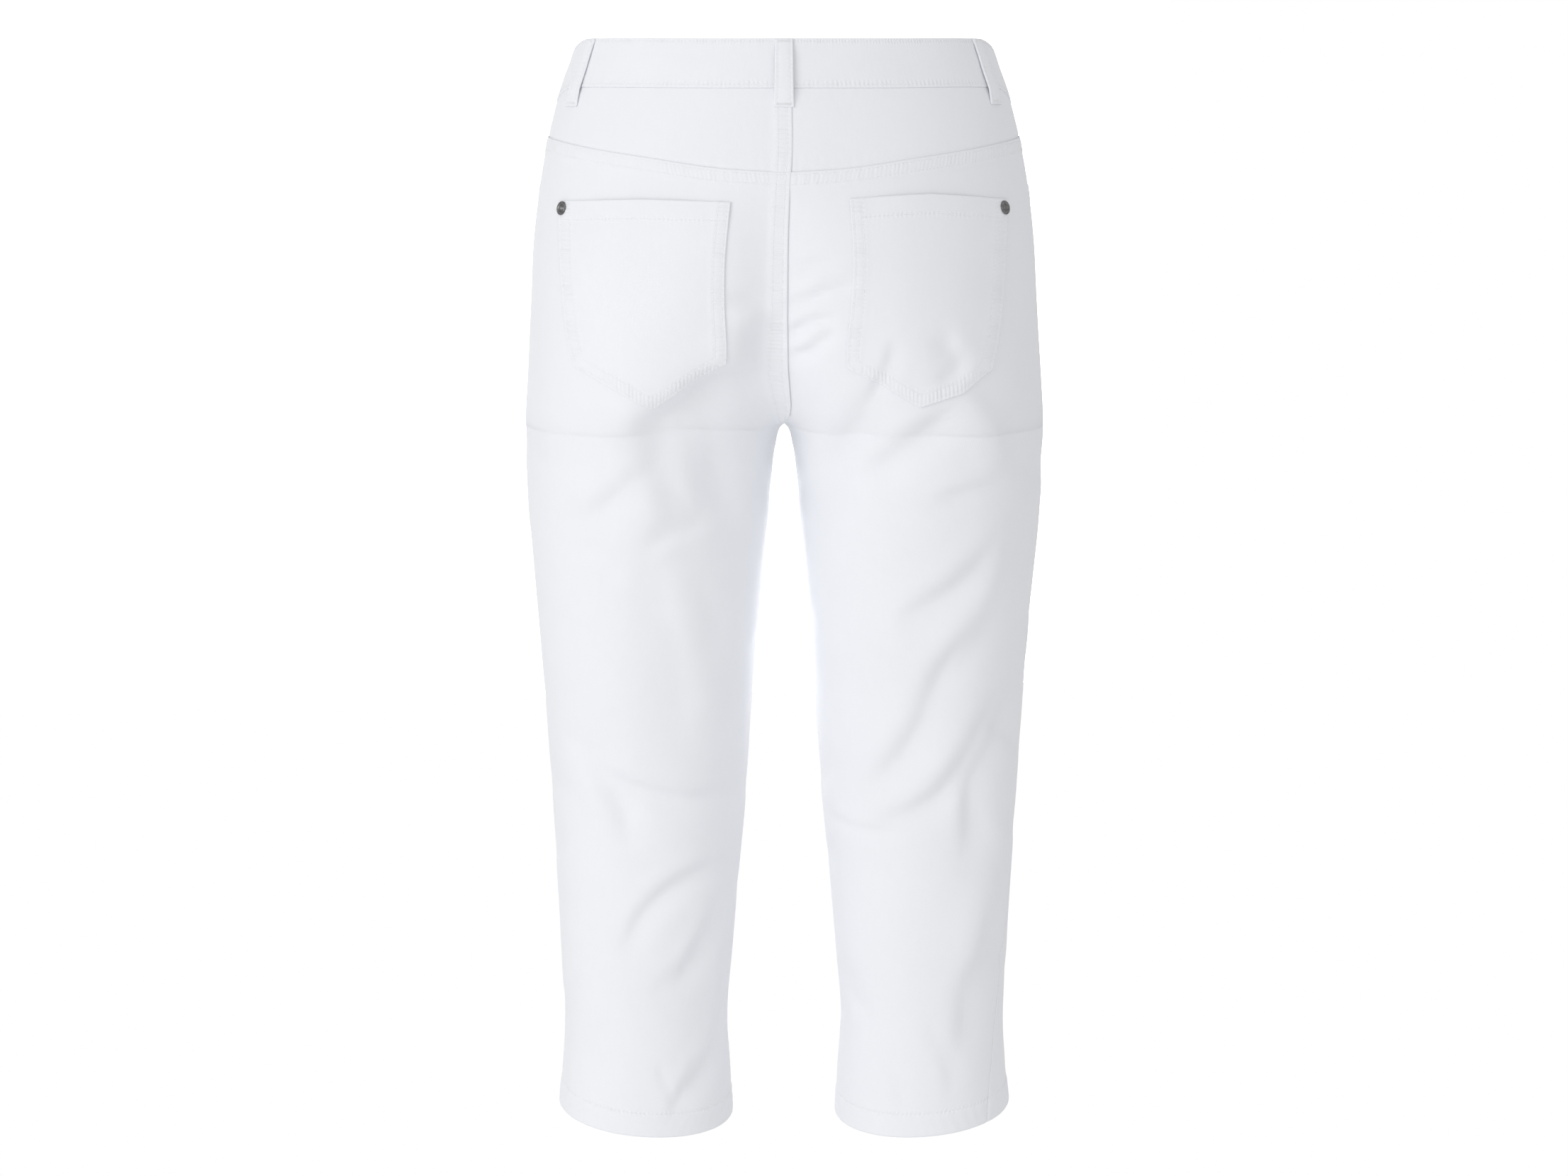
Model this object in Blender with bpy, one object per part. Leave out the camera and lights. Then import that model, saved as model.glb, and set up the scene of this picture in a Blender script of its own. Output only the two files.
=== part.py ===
"""Capri pants, hollow and filled out, as one wall of cloth for each piece that a maker cuts.

Metres, +Z up. The wearer faces -Y and the wearer's left is +X. The origin is the middle of the
waist ring. Every piece lies on one skin: ovals round the waist and the hips that part at the
crotch into an oval for each leg. A place on the skin has a height z and a share "around", which
is 0 at the centre back or the inseam, 1 at the side seam and 2 at the centre front or the
inseam again. Sizes below are millimetres.
"""

import math

import bmesh
import bpy
import numpy as np
from mathutils import Vector

MM = 0.001

# Driving sizes.
SEAM_GAP = 0.3
CLOTH = 1.2
PATCH_GAP = 0.5
BAND_CLOTH = 2.2
BAND_PROUD = 0.6
BAND_HEIGHT = 34.0
CROTCH_Z = -264.0
CROTCH_SIDE_Z = -258.0
HEM_TURN_UP = 17.0
HEM_CLOTH = 2.3
HEM_STEP = 1.5
FLY_LAP = 8.0
FLY_LAP_END_Z = -184.0
FLY_LAP_FULL_Z = -168.0
FLY_LIFT_END_Z = -212.0
FLY_LIFT_FULL_Z = -196.0
FLY_EDGE_FLAT = 3.5
FLY_EDGE_FADE = 13.0
POCKET_MOUTH_SHARE = 0.5
POCKET_MOUTH_DROP = 58.0
MOUTH_GAPE = 1.5
MOUTH_GAPE_HEIGHT = 16.0
FACING_DEPTH = 2.1
FACING_REACH = 0.60
FACING_OVAL_SHARE = 0.64
FACING_DROP = 76.0
BAND_OVER = 8.0
BAND_UNDER = 28.0
BAND_STEP_NEAR = 3.0
BAND_STEP_FAR = 20.0
BUTTON_FROM_FRONT = 5.0
BUTTON_RADIUS = 8.5
RIVET_RADIUS = 5.0

LEFT = 1
RIGHT = -1
SIDES = {"left": LEFT, "right": RIGHT}
BACK = 1
FRONT = -1

# The skin, a row for each height: the outer half width from the centre plane, how near the
# centre plane the oval's inner edge comes (past it while negative), the rounding of the web
# between the two ovals, the front and back of the oval, its middle, and how square its inner
# front quarter is (2 is an ellipse).
BODY_COLUMNS = ("z", "half_width", "inner_edge", "web", "front", "back", "middle", "square")
BODY = (
    (30.0, 143.0, -143.0, 0.0, -95.0, 94.0, 0.0, 2.1),
    (10.0, 146.6, -146.6, 0.0, -98.0, 98.0, 0.0, 2.1),
    (-10.0, 152.7, -152.7, 0.0, -101.0, 102.0, 0.0, 2.1),
    (-30.0, 160.0, -158.6, 0.5, -104.0, 106.5, 0.0, 2.15),
    (-60.0, 167.6, -157.0, 3.0, -107.5, 113.5, 1.0, 2.2),
    (-100.0, 174.9, -139.0, 9.0, -111.0, 122.0, 2.0, 2.35),
    (-130.0, 178.8, -116.0, 14.0, -111.5, 127.0, 3.0, 2.5),
    (-170.0, 181.4, -80.0, 18.0, -110.0, 131.0, 4.0, 2.6),
    (-205.0, 183.4, -46.0, 18.0, -106.0, 130.0, 5.0, 2.6),
    (-230.0, 184.5, -21.0, 14.0, -102.0, 126.0, 5.0, 2.5),
    (-248.0, 185.1, -6.0, 9.0, -99.5, 121.5, 5.0, 2.35),
    (-264.0, 185.2, 4.5, 4.5, -97.0, 116.5, 5.0, 2.2),
    (-280.0, 185.3, 8.0, 4.6, -96.0, 113.0, 5.0, 2.1),
    (-300.0, 185.0, 9.0, 3.0, -95.0, 109.5, 5.0, 2.0),
    (-330.0, 183.6, 11.3, 1.5, -93.0, 104.0, 5.0, 2.0),
    (-370.0, 180.0, 14.7, 0.0, -89.0, 97.5, 4.5, 2.0),
    (-420.0, 175.8, 19.2, 0.0, -83.0, 89.0, 4.0, 2.0),
    (-480.0, 171.7, 23.9, 0.0, -74.0, 79.5, 3.5, 2.0),
    (-540.0, 168.2, 28.2, 0.0, -66.0, 74.0, 4.0, 2.0),
    (-600.0, 164.8, 33.9, 0.0, -58.5, 71.5, 6.0, 2.0),
    (-650.0, 162.1, 38.0, 0.0, -53.5, 69.0, 7.5, 2.0),
    (-700.0, 159.8, 41.3, 0.0, -50.5, 67.5, 8.5, 2.0),
    (-735.0, 161.8, 39.0, 0.0, -51.5, 69.5, 9.0, 2.0),
    (-766.0, 164.8, 37.4, 0.0, -53.5, 72.0, 9.5, 2.0),
    (-800.0, 167.0, 36.0, 0.0, -55.0, 74.0, 10.0, 2.0),
)
OVAL_POWER = 2.1

# How far each seam has turned towards the back round the right leg, in degrees.
RIGHT_TURN_COLUMNS = ("z", "degrees")
RIGHT_TURN = (
    (-800.0, 48.0), (-773.0, 46.0), (-700.0, 30.0), (-620.0, 16.0), (-520.0, 5.0), (-400.0, 0.0),
)

# Heights of the edges that run round the garment.
EDGE_COLUMNS = ("around", "z")
WAIST_EDGE = (
    (0.0, 10.0), (0.4, 10.0), (0.7, 10.0), (0.83, 9.0), (0.92, 4.5), (1.0, -1.5), (1.2, -8.0),
    (1.6, -13.0), (2.0, -15.0),
)
YOKE_SEAM = ((0.0, -81.5), (0.2, -78.5), (0.4, -72.5), (0.6, -67.0), (0.8, -62.0), (1.0, -59.0))

# The hem lies in a tilted plane, lower at the back and a little lower at the inside.
HEM_Z = -763.5
HEM_BACK_DROP = 9.5
HEM_INSIDE_DROP = 4.5

# The largest folds: soft troughs from one point to another, in the back or the front.
FOLD_COLUMNS = ("view", "x0", "z0", "x1", "z1", "width", "depth")
FOLDS = (
    (BACK, 98.0, -268.0, 12.0, -256.0, 14.0, 4.5),
    (BACK, 86.0, -292.0, 144.0, -326.0, 12.0, 2.5),
    (BACK, 46.0, -333.0, 94.0, -341.0, 11.0, 2.5),
    (BACK, 104.0, -519.0, 30.0, -528.0, 9.0, 3.5),
    (BACK, 152.0, -478.0, 114.0, -556.0, 11.0, 2.5),
    (BACK, 90.0, -598.0, 112.0, -634.0, 10.0, 2.5),
    (BACK, 50.0, -625.0, 73.0, -660.0, 10.0, 3.0),
    (BACK, 30.0, -668.0, 77.0, -753.0, 9.0, 3.0),
    (BACK, -66.0, -236.0, -24.0, -310.0, 13.0, 4.0),
    (BACK, -124.0, -248.0, -60.0, -293.0, 12.0, 3.5),
    (BACK, -148.0, -358.0, -110.0, -383.0, 13.0, 3.0),
    (BACK, -143.0, -384.0, -111.0, -436.0, 14.0, 3.0),
    (BACK, -115.0, -428.0, -69.0, -514.0, 12.0, 3.5),
    (BACK, -142.0, -487.0, -109.0, -526.0, 11.0, 3.0),
    (BACK, -164.0, -444.0, -127.0, -551.0, 11.0, 4.0),
    (BACK, -163.0, -557.0, -136.0, -640.0, 11.0, 3.0),
    (BACK, -30.0, -549.0, -60.0, -545.0, 9.0, 3.0),
    (FRONT, 24.0, -222.0, 92.0, -196.0, 10.0, 2.5),
    (FRONT, -26.0, -216.0, -84.0, -198.0, 10.0, 2.5),
    (FRONT, 30.0, -262.0, 104.0, -280.0, 12.0, 3.0),
    (FRONT, -28.0, -268.0, -112.0, -276.0, 12.0, 3.0),
    (FRONT, 52.0, -478.0, 128.0, -492.0, 10.0, 2.5),
    (FRONT, -46.0, -500.0, -122.0, -482.0, 10.0, 2.5),
    (FRONT, 60.0, -560.0, 122.0, -604.0, 10.0, 2.5),
    (FRONT, -60.0, -640.0, -124.0, -598.0, 10.0, 2.5),
)

# The back pockets: the inner and outer edge of each, and its top and bottom lines.
POCKET_EDGE_COLUMNS = ("z", "inner_x", "outer_x")
LEFT_POCKET_EDGES = (
    (-245.0, 41.0, 140.0), (-215.0, 39.5, 145.5), (-199.0, 39.5, 150.0),
    (-174.0, 40.5, 153.5), (-147.0, 40.5, 156.0), (-101.0, 36.5, 157.5),
)
RIGHT_POCKET_EDGES = (
    (-245.0, 46.0, 141.0), (-218.0, 43.5, 144.5), (-199.0, 43.5, 148.5),
    (-174.0, 46.0, 152.0), (-147.0, 47.5, 154.0), (-98.0, 45.0, 156.0),
)
POCKET_LINE_COLUMNS = ("across", "top", "bottom")
LEFT_POCKET_LINES = ((0.0, -101.5, -213.5), (0.5, -100.5, -246.0), (1.0, -103.0, -216.5))
RIGHT_POCKET_LINES = (
    (0.0, -99.5, -215.0), (0.22, -98.0, -227.0), (0.5, -97.0, -242.5), (0.8, -99.5, -233.5),
    (1.0, -102.0, -218.0),
)
RIVET_PLACES = {"left": (LEFT, 154.0, -108.3), "right": (RIGHT, 152.8, -107.8)}

# Belt loops: the share around and the side of each, and its length below the waist edge.
LOOP_COLUMNS = ("name", "side", "around", "length")
LOOPS = (
    ("centre_back", LEFT, 0.0, 46.5),
    ("back_left", LEFT, 0.775, 47.0),
    ("back_right", RIGHT, 0.775, 45.5),
    ("front_left", LEFT, 1.60, 46.0),
    ("front_right", RIGHT, 1.60, 46.0),
)
LOOP_WIDTH = 12.8
LOOP_CLOTH = 1.6
LOOP_STAND_OFF = 1.9
LOOP_TOP_DROP = 0.8

# How the panels are divided: rows above and below the crotch, the share of the way down the leg
# of some rows, and the share of the way across of some columns. Rows stand closer just under the
# crotch, and columns beside the fly's lap.
TORSO_ROWS = 13
LEG_ROWS = 29
LEG_ROW_SHARES = ((0, 0.0), (1, 0.009), (2, 0.027), (29, 1.0))
TURN_UP_ROWS = 2
BACK_COLUMNS = ((0, 0.0), (12, 1.0))
FRONT_COLUMNS = {
    "left": ((0, 0.0), (1, 0.012), (2, 0.07), (7, 0.5), (12, 1.0)),
    "right": ((0, 0.0), (10, 1.0)),
}


def column(table, columns, name, at, key):
    """A column of a table, read at each value of its key on a smooth curve through its rows."""
    rows = np.array(sorted((row[columns.index(key)], row[columns.index(name)]) for row in table))
    place, value = rows[:, 0], rows[:, 1]
    step = np.diff(place)
    rise = np.diff(value) / step
    between = (step[1:] * rise[:-1] + step[:-1] * rise[1:]) / (step[1:] + step[:-1])
    slope = np.concatenate([rise[:1], between, rise[-1:]])
    at = np.clip(np.asarray(at, float), place[0], place[-1])
    cell = np.clip(np.searchsorted(place, at, side="right") - 1, 0, len(step) - 1)
    width = step[cell]
    s = (at - place[cell]) / width
    start = value[cell] * (1 + 2 * s) * (1 - s) ** 2 + width * slope[cell] * s * (1 - s) ** 2
    end = value[cell + 1] * s * s * (3 - 2 * s) + width * slope[cell + 1] * s * s * (s - 1)
    return start + end


def smooth_step(low, high, value):
    share = np.clip((value - low) / (high - low), 0.0, 1.0)
    return share * share * (3 - 2 * share)


def body(name, z):
    return column(BODY, BODY_COLUMNS, name, z, "z")


def hem_edge(side, around):
    angle = turn(side, np.full_like(around, HEM_Z)) + (1 - around) * math.pi
    return HEM_Z - HEM_BACK_DROP * np.sin(angle) + HEM_INSIDE_DROP * np.cos(angle)


def edge(table, around):
    return column(table, EDGE_COLUMNS, "z", around, "around")


def oval(z):
    """The oval at each height: centre, half width, web rounding, middle, front and back depth."""
    outer = body("half_width", z)
    inner = body("inner_edge", z)
    web = np.maximum(body("web", z), 0.0)
    middle = body("middle", z)
    centre = (outer + inner) / 2
    front = middle - body("front", z)
    back = body("back", z) - middle
    return centre, (outer - inner) / 2, web, middle, front, back


def misfit(x, y, z):
    """Zero on the skin, negative inside it."""
    centre, half, web, middle, front, back = oval(z)
    lobe_x = (np.sqrt(x * x + web * web) - centre) / half
    depth = (y - middle) / np.where(y > middle, back, front)
    inner_power = np.where(y > middle, OVAL_POWER, body("square", z))
    power = np.where(lobe_x < 0, inner_power, OVAL_POWER)
    return np.abs(lobe_x) ** power + np.abs(depth) ** power - 1


def outward(x, y, z):
    """Unit normals of the skin, from how its misfit grows."""
    probe = 0.05
    grad = np.stack(
        [
            misfit(x + probe, y, z) - misfit(x - probe, y, z),
            misfit(x, y + probe, z) - misfit(x, y - probe, z),
            misfit(x, y, z + probe) - misfit(x, y, z - probe),
        ],
        axis=1,
    )
    return grad / np.linalg.norm(grad, axis=1)[:, None]


def turn(side, z):
    """How far the seams have turned round the leg, in radians."""
    if side == LEFT:
        return np.zeros_like(z)
    return np.radians(column(RIGHT_TURN, RIGHT_TURN_COLUMNS, "degrees", z, "z"))


def half_ring(side, view, z, samples=80, crowding=1.6):
    """One half of the ring at each height, as points from its inner edge to the side seam."""
    centre, half, web, middle, front, back = (value[:, None] for value in oval(z))
    inner_power = np.where(view == BACK, OVAL_POWER, body("square", z))[:, None]
    reach = np.clip((centre - web) / half, 0.0, 1.0)
    inner_angle = np.arccos(-(reach ** (inner_power / 2)))
    share = np.linspace(0.0, 1.0, samples)[None, :] ** crowding
    angle = turn(side, z)[:, None] + view[:, None] * inner_angle * (1 - share)
    cos, sin = np.cos(angle), np.sin(angle)
    inner_quarter = np.where(sin > 0, OVAL_POWER, body("square", z)[:, None])
    power = np.where(cos < 0, inner_quarter, OVAL_POWER)
    lobe_x = centre + half * np.sign(cos) * np.abs(cos) ** (2 / power)
    x = np.sqrt(np.maximum(lobe_x**2 - web**2, 0.0))
    y = middle + np.where(sin > 0, back, front) * np.sign(sin) * np.abs(sin) ** (2 / power)
    return x, y


def skin(side, around, z):
    """Points of the bare skin and their normals, on the left leg's side; mirror x for the right."""
    around, z = np.broadcast_arrays(np.asarray(around, float), np.asarray(z, float))
    past_front = around > 2
    past_back = around < 0
    near = np.where(past_front, 4 - around, np.abs(around))
    view = np.where(near <= 1, BACK, FRONT)
    share = np.where(near <= 1, near, 2 - near)
    xs, ys = half_ring(side, view, z)
    steps = np.hypot(np.diff(xs), np.diff(ys))
    run = np.concatenate([np.zeros((len(z), 1)), np.cumsum(steps, axis=1)], axis=1)
    target = (share * run[:, -1])[:, None]
    cell = np.clip((run < target).sum(axis=1) - 1, 0, xs.shape[1] - 2)
    row = np.arange(len(z))
    part = (target[:, 0] - run[row, cell]) / np.maximum(run[row, cell + 1] - run[row, cell], 1e-9)
    x = xs[row, cell] + part * (xs[row, cell + 1] - xs[row, cell])
    y = ys[row, cell] + part * (ys[row, cell + 1] - ys[row, cell])
    x = np.where(past_front | past_back, -x, x)
    return np.stack([x, y, z], axis=1), outward(x, y, z)


def ring_length(side, view, z):
    """Half of the way round the skin at each height."""
    z = np.atleast_1d(np.asarray(z, float))
    xs, ys = half_ring(side, np.full(z.shape, view), z)
    return np.hypot(np.diff(xs), np.diff(ys)).sum(axis=1)


def fold_depth(points, normals):
    """How deep the folds lie under each point of the skin."""
    depth = np.zeros(len(points))
    for view, x0, z0, x1, z1, width, deep in FOLDS:
        run = np.array([x1 - x0, z1 - z0])
        length = np.linalg.norm(run)
        run /= length
        offset = points[:, [0, 2]] - (x0, z0)
        along = offset @ run / length
        across = offset @ (-run[1], run[0])
        ends = smooth_step(-0.15, 0.25, along) * smooth_step(1.15, 0.75, along)
        facing = smooth_step(0.0, 0.45, view * normals[:, 1])
        depth += deep * np.exp(-((across / width) ** 2)) * ends * facing
    return depth


def cloth(side, around, z, lift, part_seam=True):
    """Points that lie `lift` outside the folded skin. The two sides part by half a seam gap."""
    points, normals = skin(side, around, z)
    if part_seam:
        points[:, 0] += SEAM_GAP / 2
    points[:, 0] *= side
    normals[:, 0] *= side
    return points + normals * (lift - fold_depth(points, normals))[:, None]


def back_cloth(side, x, z, lift):
    """Points on the seat at x and z, lifted off it."""
    centre, half, web, middle, _, back = oval(z)
    lobe_x = np.abs((np.sqrt(x * x + web * web) - centre) / half)
    y = middle + back * (1 - lobe_x**OVAL_POWER) ** (1 / OVAL_POWER)
    normals = outward(x, y, z)
    points = np.stack([side * x, y, z], axis=1)
    normals[:, 0] *= side
    return points + normals * (lift - fold_depth(points, normals))[:, None]


def material(name, colour, roughness, metallic=0.0):
    made = bpy.data.materials.get(name) or bpy.data.materials.new(name)
    made.use_nodes = True
    shader = made.node_tree.nodes["Principled BSDF"]
    shader.inputs["Base Color"].default_value = (*colour, 1.0)
    shader.inputs["Roughness"].default_value = roughness
    shader.inputs["Metallic"].default_value = metallic
    return made


def finish(name, mesh_builder, finish_material):
    """Turn a bmesh into a named object at the origin."""
    bmesh.ops.recalc_face_normals(mesh_builder, faces=mesh_builder.faces)
    if mesh_builder.calc_volume(signed=True) < 0:
        bmesh.ops.reverse_faces(mesh_builder, faces=mesh_builder.faces)
    mesh = bpy.data.meshes.new(name)
    mesh_builder.to_mesh(mesh)
    mesh_builder.free()
    mesh.shade_smooth()
    mesh.set_sharp_from_angle(angle=math.radians(40))
    mesh.materials.append(finish_material)
    piece = bpy.data.objects.new(name, mesh)
    bpy.context.scene.collection.objects.link(piece)
    return piece


def wall(name, columns, rows, shape, finish_material):
    """A closed wall: a slab of cells in (across, along, depth), shaped onto the garment.

    shape takes the shares across and along and the depth, 0 outside and 1 inside, and gives points.
    """
    slab = bmesh.new()
    bmesh.ops.create_grid(slab, x_segments=columns, y_segments=rows, size=0.5)
    doubled = bmesh.ops.extrude_face_region(slab, geom=slab.faces[:], use_keep_orig=True)
    inner = [item for item in doubled["geom"] if isinstance(item, bmesh.types.BMVert)]
    bmesh.ops.translate(slab, vec=(0.0, 0.0, 1.0), verts=inner)
    cells = np.array([vert.co for vert in slab.verts])
    points = shape(cells[:, 0] + 0.5, cells[:, 1] + 0.5, cells[:, 2])
    for vert, point in zip(slab.verts, points * MM):
        vert.co = point
    return finish(name, slab, finish_material)


def band_bottom(around):
    return edge(WAIST_EDGE, around) - BAND_HEIGHT


def pocket_mouth(around, share=POCKET_MOUTH_SHARE, drop=POCKET_MOUTH_DROP):
    """A quarter oval from the side seam up to the band: the front pocket's scoop."""
    reach = np.clip((around - 1) / share, 0.0, 1.0)
    return band_bottom(around) - drop * np.sqrt(1 - reach**2)


def yoke_bottom(around):
    return edge(YOKE_SEAM, around)


def back_top(around):
    return yoke_bottom(around) - SEAM_GAP


def front_top(around):
    """The scoop as far as the pocket reaches, and the band from there to the centre front."""
    corner = 1 + POCKET_MOUTH_SHARE
    return np.where(around < corner, pocket_mouth(around), band_bottom(around)) - SEAM_GAP


def crotch_row(share):
    return CROTCH_Z + (CROTCH_SIDE_Z - CROTCH_Z) * smooth_step(0.0, 0.6, share)


def panel(name, side, view, column_shares, finish_material):
    """A front or back panel, from its top edge over the crotch line to the turned-up hem.

    Its rows stand evenly along the centre seam, which bends under the crotch, and evenly down
    the side seam, and tilt between the two. column_shares gives the share of the way from the
    centre seam to the side seam at some of its columns.
    """
    columns = column_shares[-1][0]
    top_edge = back_top if view == BACK else front_top
    centre_seam = 0.0 if view == BACK else 2.0
    heights = np.linspace(float(top_edge(np.array(centre_seam))), CROTCH_Z, 400)
    rise, _ = skin(side, centre_seam, heights)
    run = np.concatenate([[0.0], np.cumsum(np.linalg.norm(np.diff(rise, axis=0), axis=1))])
    fall = (heights - heights[0]) / (CROTCH_Z - heights[0])
    rows = TORSO_ROWS + LEG_ROWS + TURN_UP_ROWS

    def row_height(share, row):
        around = share if view == BACK else 2 - share
        crotch = crotch_row(share)
        hem = hem_edge(side, around)
        turned_up = hem + HEM_TURN_UP
        torso = np.clip(row / TORSO_ROWS, 0.0, 1.0)
        even_fall = np.interp(torso * run[-1], run, fall)
        tilt = smooth_step(0.0, 0.55, share)
        top = top_edge(around)
        above = top + (crotch - top) * (even_fall + (torso - even_fall) * tilt)
        leg = np.interp(row - TORSO_ROWS, *np.array(LEG_ROW_SHARES).T)
        below = crotch + (turned_up + HEM_STEP - crotch) * leg
        z = np.where(row <= TORSO_ROWS, above, below)
        z = np.where(row == rows - 1, turned_up, z)
        return np.where(row == rows, hem, z)

    def shape(across, along, depth):
        row = np.round(along * rows)
        across = np.interp(across * columns, *np.array(column_shares).T)
        z = row_height(across, row)
        length = ring_length(side, view, z)
        half_gap = SEAM_GAP / 2 / length
        inseam_gap = np.where(row >= TORSO_ROWS, half_gap, 0.0)
        share = inseam_gap + across * (1 - inseam_gap - half_gap)
        lift = np.zeros_like(z)
        if view == FRONT:
            below_mouth = front_top(2 - across) - z
            beside = smooth_step(1 - POCKET_MOUTH_SHARE, 1.1 - POCKET_MOUTH_SHARE, across)
            lift = MOUTH_GAPE * np.exp(-((below_mouth / MOUTH_GAPE_HEIGHT) ** 2)) * beside
        if view == FRONT and side == LEFT:
            lap = FLY_LAP * smooth_step(FLY_LAP_END_Z, FLY_LAP_FULL_Z, z)
            share = share - lap / length * (across == 0)
            over = 1 - smooth_step(FLY_EDGE_FLAT, FLY_EDGE_FADE, share * length)
            raised = smooth_step(FLY_LIFT_END_Z, FLY_LIFT_FULL_Z, z)
            lift = lift + (CLOTH + PATCH_GAP) * over * raised
        around = share if view == BACK else 2 - share
        thick = np.where(row >= rows - 1, HEM_CLOTH, CLOTH)
        return cloth(side, around, z, lift - depth * thick)

    return wall(name, columns, rows, shape, finish_material)


def yoke(name, side, finish_material):
    """The shaped piece between the waistband and the seat."""

    def shape(across, along, depth):
        top = band_bottom(across) - SEAM_GAP
        z = top + (yoke_bottom(across) - top) * along
        half_gap = SEAM_GAP / 2 / ring_length(side, BACK, z)
        return cloth(side, across * (1 - half_gap), z, -depth * CLOTH)

    return wall(name, 12, 4, shape, finish_material)


def pocket_facing(name, side, finish_material):
    """The hip piece that shows in the scoop of the front pocket and runs on behind the front."""

    def shape(across, along, depth):
        around = 1 + across * FACING_REACH
        top = band_bottom(around) - SEAM_GAP
        bottom = pocket_mouth(around, FACING_OVAL_SHARE, FACING_DROP)
        z = top + (bottom - top) * along
        half_gap = SEAM_GAP / 2 / ring_length(side, FRONT, z)
        return cloth(side, np.maximum(around, 1 + half_gap), z, -FACING_DEPTH - depth * CLOTH)

    return wall(name, 7, 6, shape, finish_material)


def front_band_length():
    """From the side seam to the centre front along the waistband."""
    return float(ring_length(LEFT, FRONT, -10.0)[0])


def waistband(finish_material):
    """One band all the way round, whose left end laps over its right end at the centre front."""
    length = front_band_length()
    over_end = 2 + BAND_OVER / length
    under_end = 2 + BAND_UNDER / length
    step = (BAND_CLOTH + SEAM_GAP) / 2

    def shape(across, along, depth):
        place = -under_end + (under_end + over_end) * across
        around = np.abs(place)
        top = edge(WAIST_EDGE, np.minimum(around, 4 - around))
        z = top - BAND_HEIGHT * along
        from_front = (2 - around) * length
        over = step * smooth_step(BAND_UNDER + BAND_STEP_FAR, BAND_UNDER + BAND_STEP_NEAR, from_front)
        under = step * smooth_step(BAND_OVER + BAND_STEP_FAR, BAND_OVER + BAND_STEP_NEAR, from_front)
        lift = BAND_PROUD + np.where(place > 0, over, -under) - depth * BAND_CLOTH
        left = cloth(LEFT, around, z, lift, part_seam=False)
        right = cloth(RIGHT, around, z, lift, part_seam=False)
        return np.where(place[:, None] > 0, left, right)

    return wall("waistband", 64, 3, shape, finish_material)


def back_pocket(name, side, edges, lines, finish_material):
    """A patch on the seat, with a pointed bottom, made from the seat's own points moved out."""

    def line(which, across):
        rows = np.array(lines)
        return np.interp(across, rows[:, 0], rows[:, POCKET_LINE_COLUMNS.index(which)])

    def shape(across, along, depth):
        z = line("top", across) + (line("bottom", across) - line("top", across)) * along
        inner = column(edges, POCKET_EDGE_COLUMNS, "inner_x", z, "z")
        outer = column(edges, POCKET_EDGE_COLUMNS, "outer_x", z, "z")
        x = inner + (outer - inner) * across
        return back_cloth(side, x, z, PATCH_GAP + (1 - depth) * CLOTH)

    return wall(name, 10, 11, shape, finish_material)


def belt_loop(name, side, around, length, finish_material):
    """A strip down the band, sewn at both ends and standing off between them."""
    half_share = LOOP_WIDTH / 2 / float(ring_length(side, BACK if around <= 1 else FRONT, -15.0)[0])

    def shape(across, along, depth):
        place = around + (across - 0.5) * 2 * half_share
        top = edge(WAIST_EDGE, np.abs(place))
        z = top - LOOP_TOP_DROP - length * along
        seat = SEAM_GAP + BAND_PROUD * smooth_step(top - BAND_HEIGHT - 6, top - BAND_HEIGHT - 1.5, z)
        stand = LOOP_STAND_OFF * smooth_step(0.0, 0.3, along) * smooth_step(1.0, 0.75, along)
        return cloth(side, place, z, seat + stand + (1 - depth) * LOOP_CLOTH, part_seam=False)

    return wall("belt_loop_" + name, 2, 12, shape, finish_material)


def turned(name, profile, point, normal, finish_material):
    """A round metal piece: its profile spun about its axis, which stands on the cloth."""
    lathe = bmesh.new()
    verts = [lathe.verts.new((radius * MM, 0.0, height * MM)) for radius, height in profile]
    edges = [lathe.edges.new(pair) for pair in zip(verts, verts[1:])]
    bmesh.ops.spin(
        lathe,
        geom=verts + edges,
        cent=(0, 0, 0),
        axis=(0, 0, 1),
        angle=math.tau,
        steps=20,
        use_merge=True,
    )
    bmesh.ops.remove_doubles(lathe, verts=lathe.verts, dist=0.00001)
    piece = finish(name, lathe, finish_material)
    piece.location = point * MM
    piece.rotation_mode = "QUATERNION"
    piece.rotation_quaternion = Vector(normal).to_track_quat("Z", "Y")
    return piece


def rivet(name, side, x, z, finish_material):
    profile = (
        (0.0, 0.0), (RIVET_RADIUS, 0.0), (RIVET_RADIUS, 0.7), (RIVET_RADIUS - 0.7, 1.3), (3.1, 1.3),
        (2.3, 0.7), (1.8, 1.5), (0.9, 1.9), (0.0, 2.0),
    )
    x, z = np.array([float(x)]), np.array([float(z)])
    seat = back_cloth(side, x, z, PATCH_GAP + CLOTH + SEAM_GAP)[0]
    normal = outward(x, back_cloth(side, x, z, 0.0)[:, 1], z)[0]
    normal[0] *= side
    return turned(name, profile, seat, normal, finish_material)


def button(finish_material):
    """The head of the waistband button, on the band's upper layer."""
    profile = (
        (0.0, 0.0), (BUTTON_RADIUS - 1.0, 0.0), (BUTTON_RADIUS, 0.8), (BUTTON_RADIUS, 1.8),
        (BUTTON_RADIUS - 0.9, 2.6), (5.2, 2.6), (4.4, 2.0), (0.0, 2.0),
    )
    around = np.array([2 - BUTTON_FROM_FRONT / front_band_length()])
    z = edge(WAIST_EDGE, around) - BAND_HEIGHT / 2
    seat = cloth(LEFT, around, z, BAND_PROUD + BAND_CLOTH / 2 + 2 * SEAM_GAP, part_seam=False)[0]
    return turned("waist_button", profile, seat, skin(LEFT, around, z)[1][0], finish_material)


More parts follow.
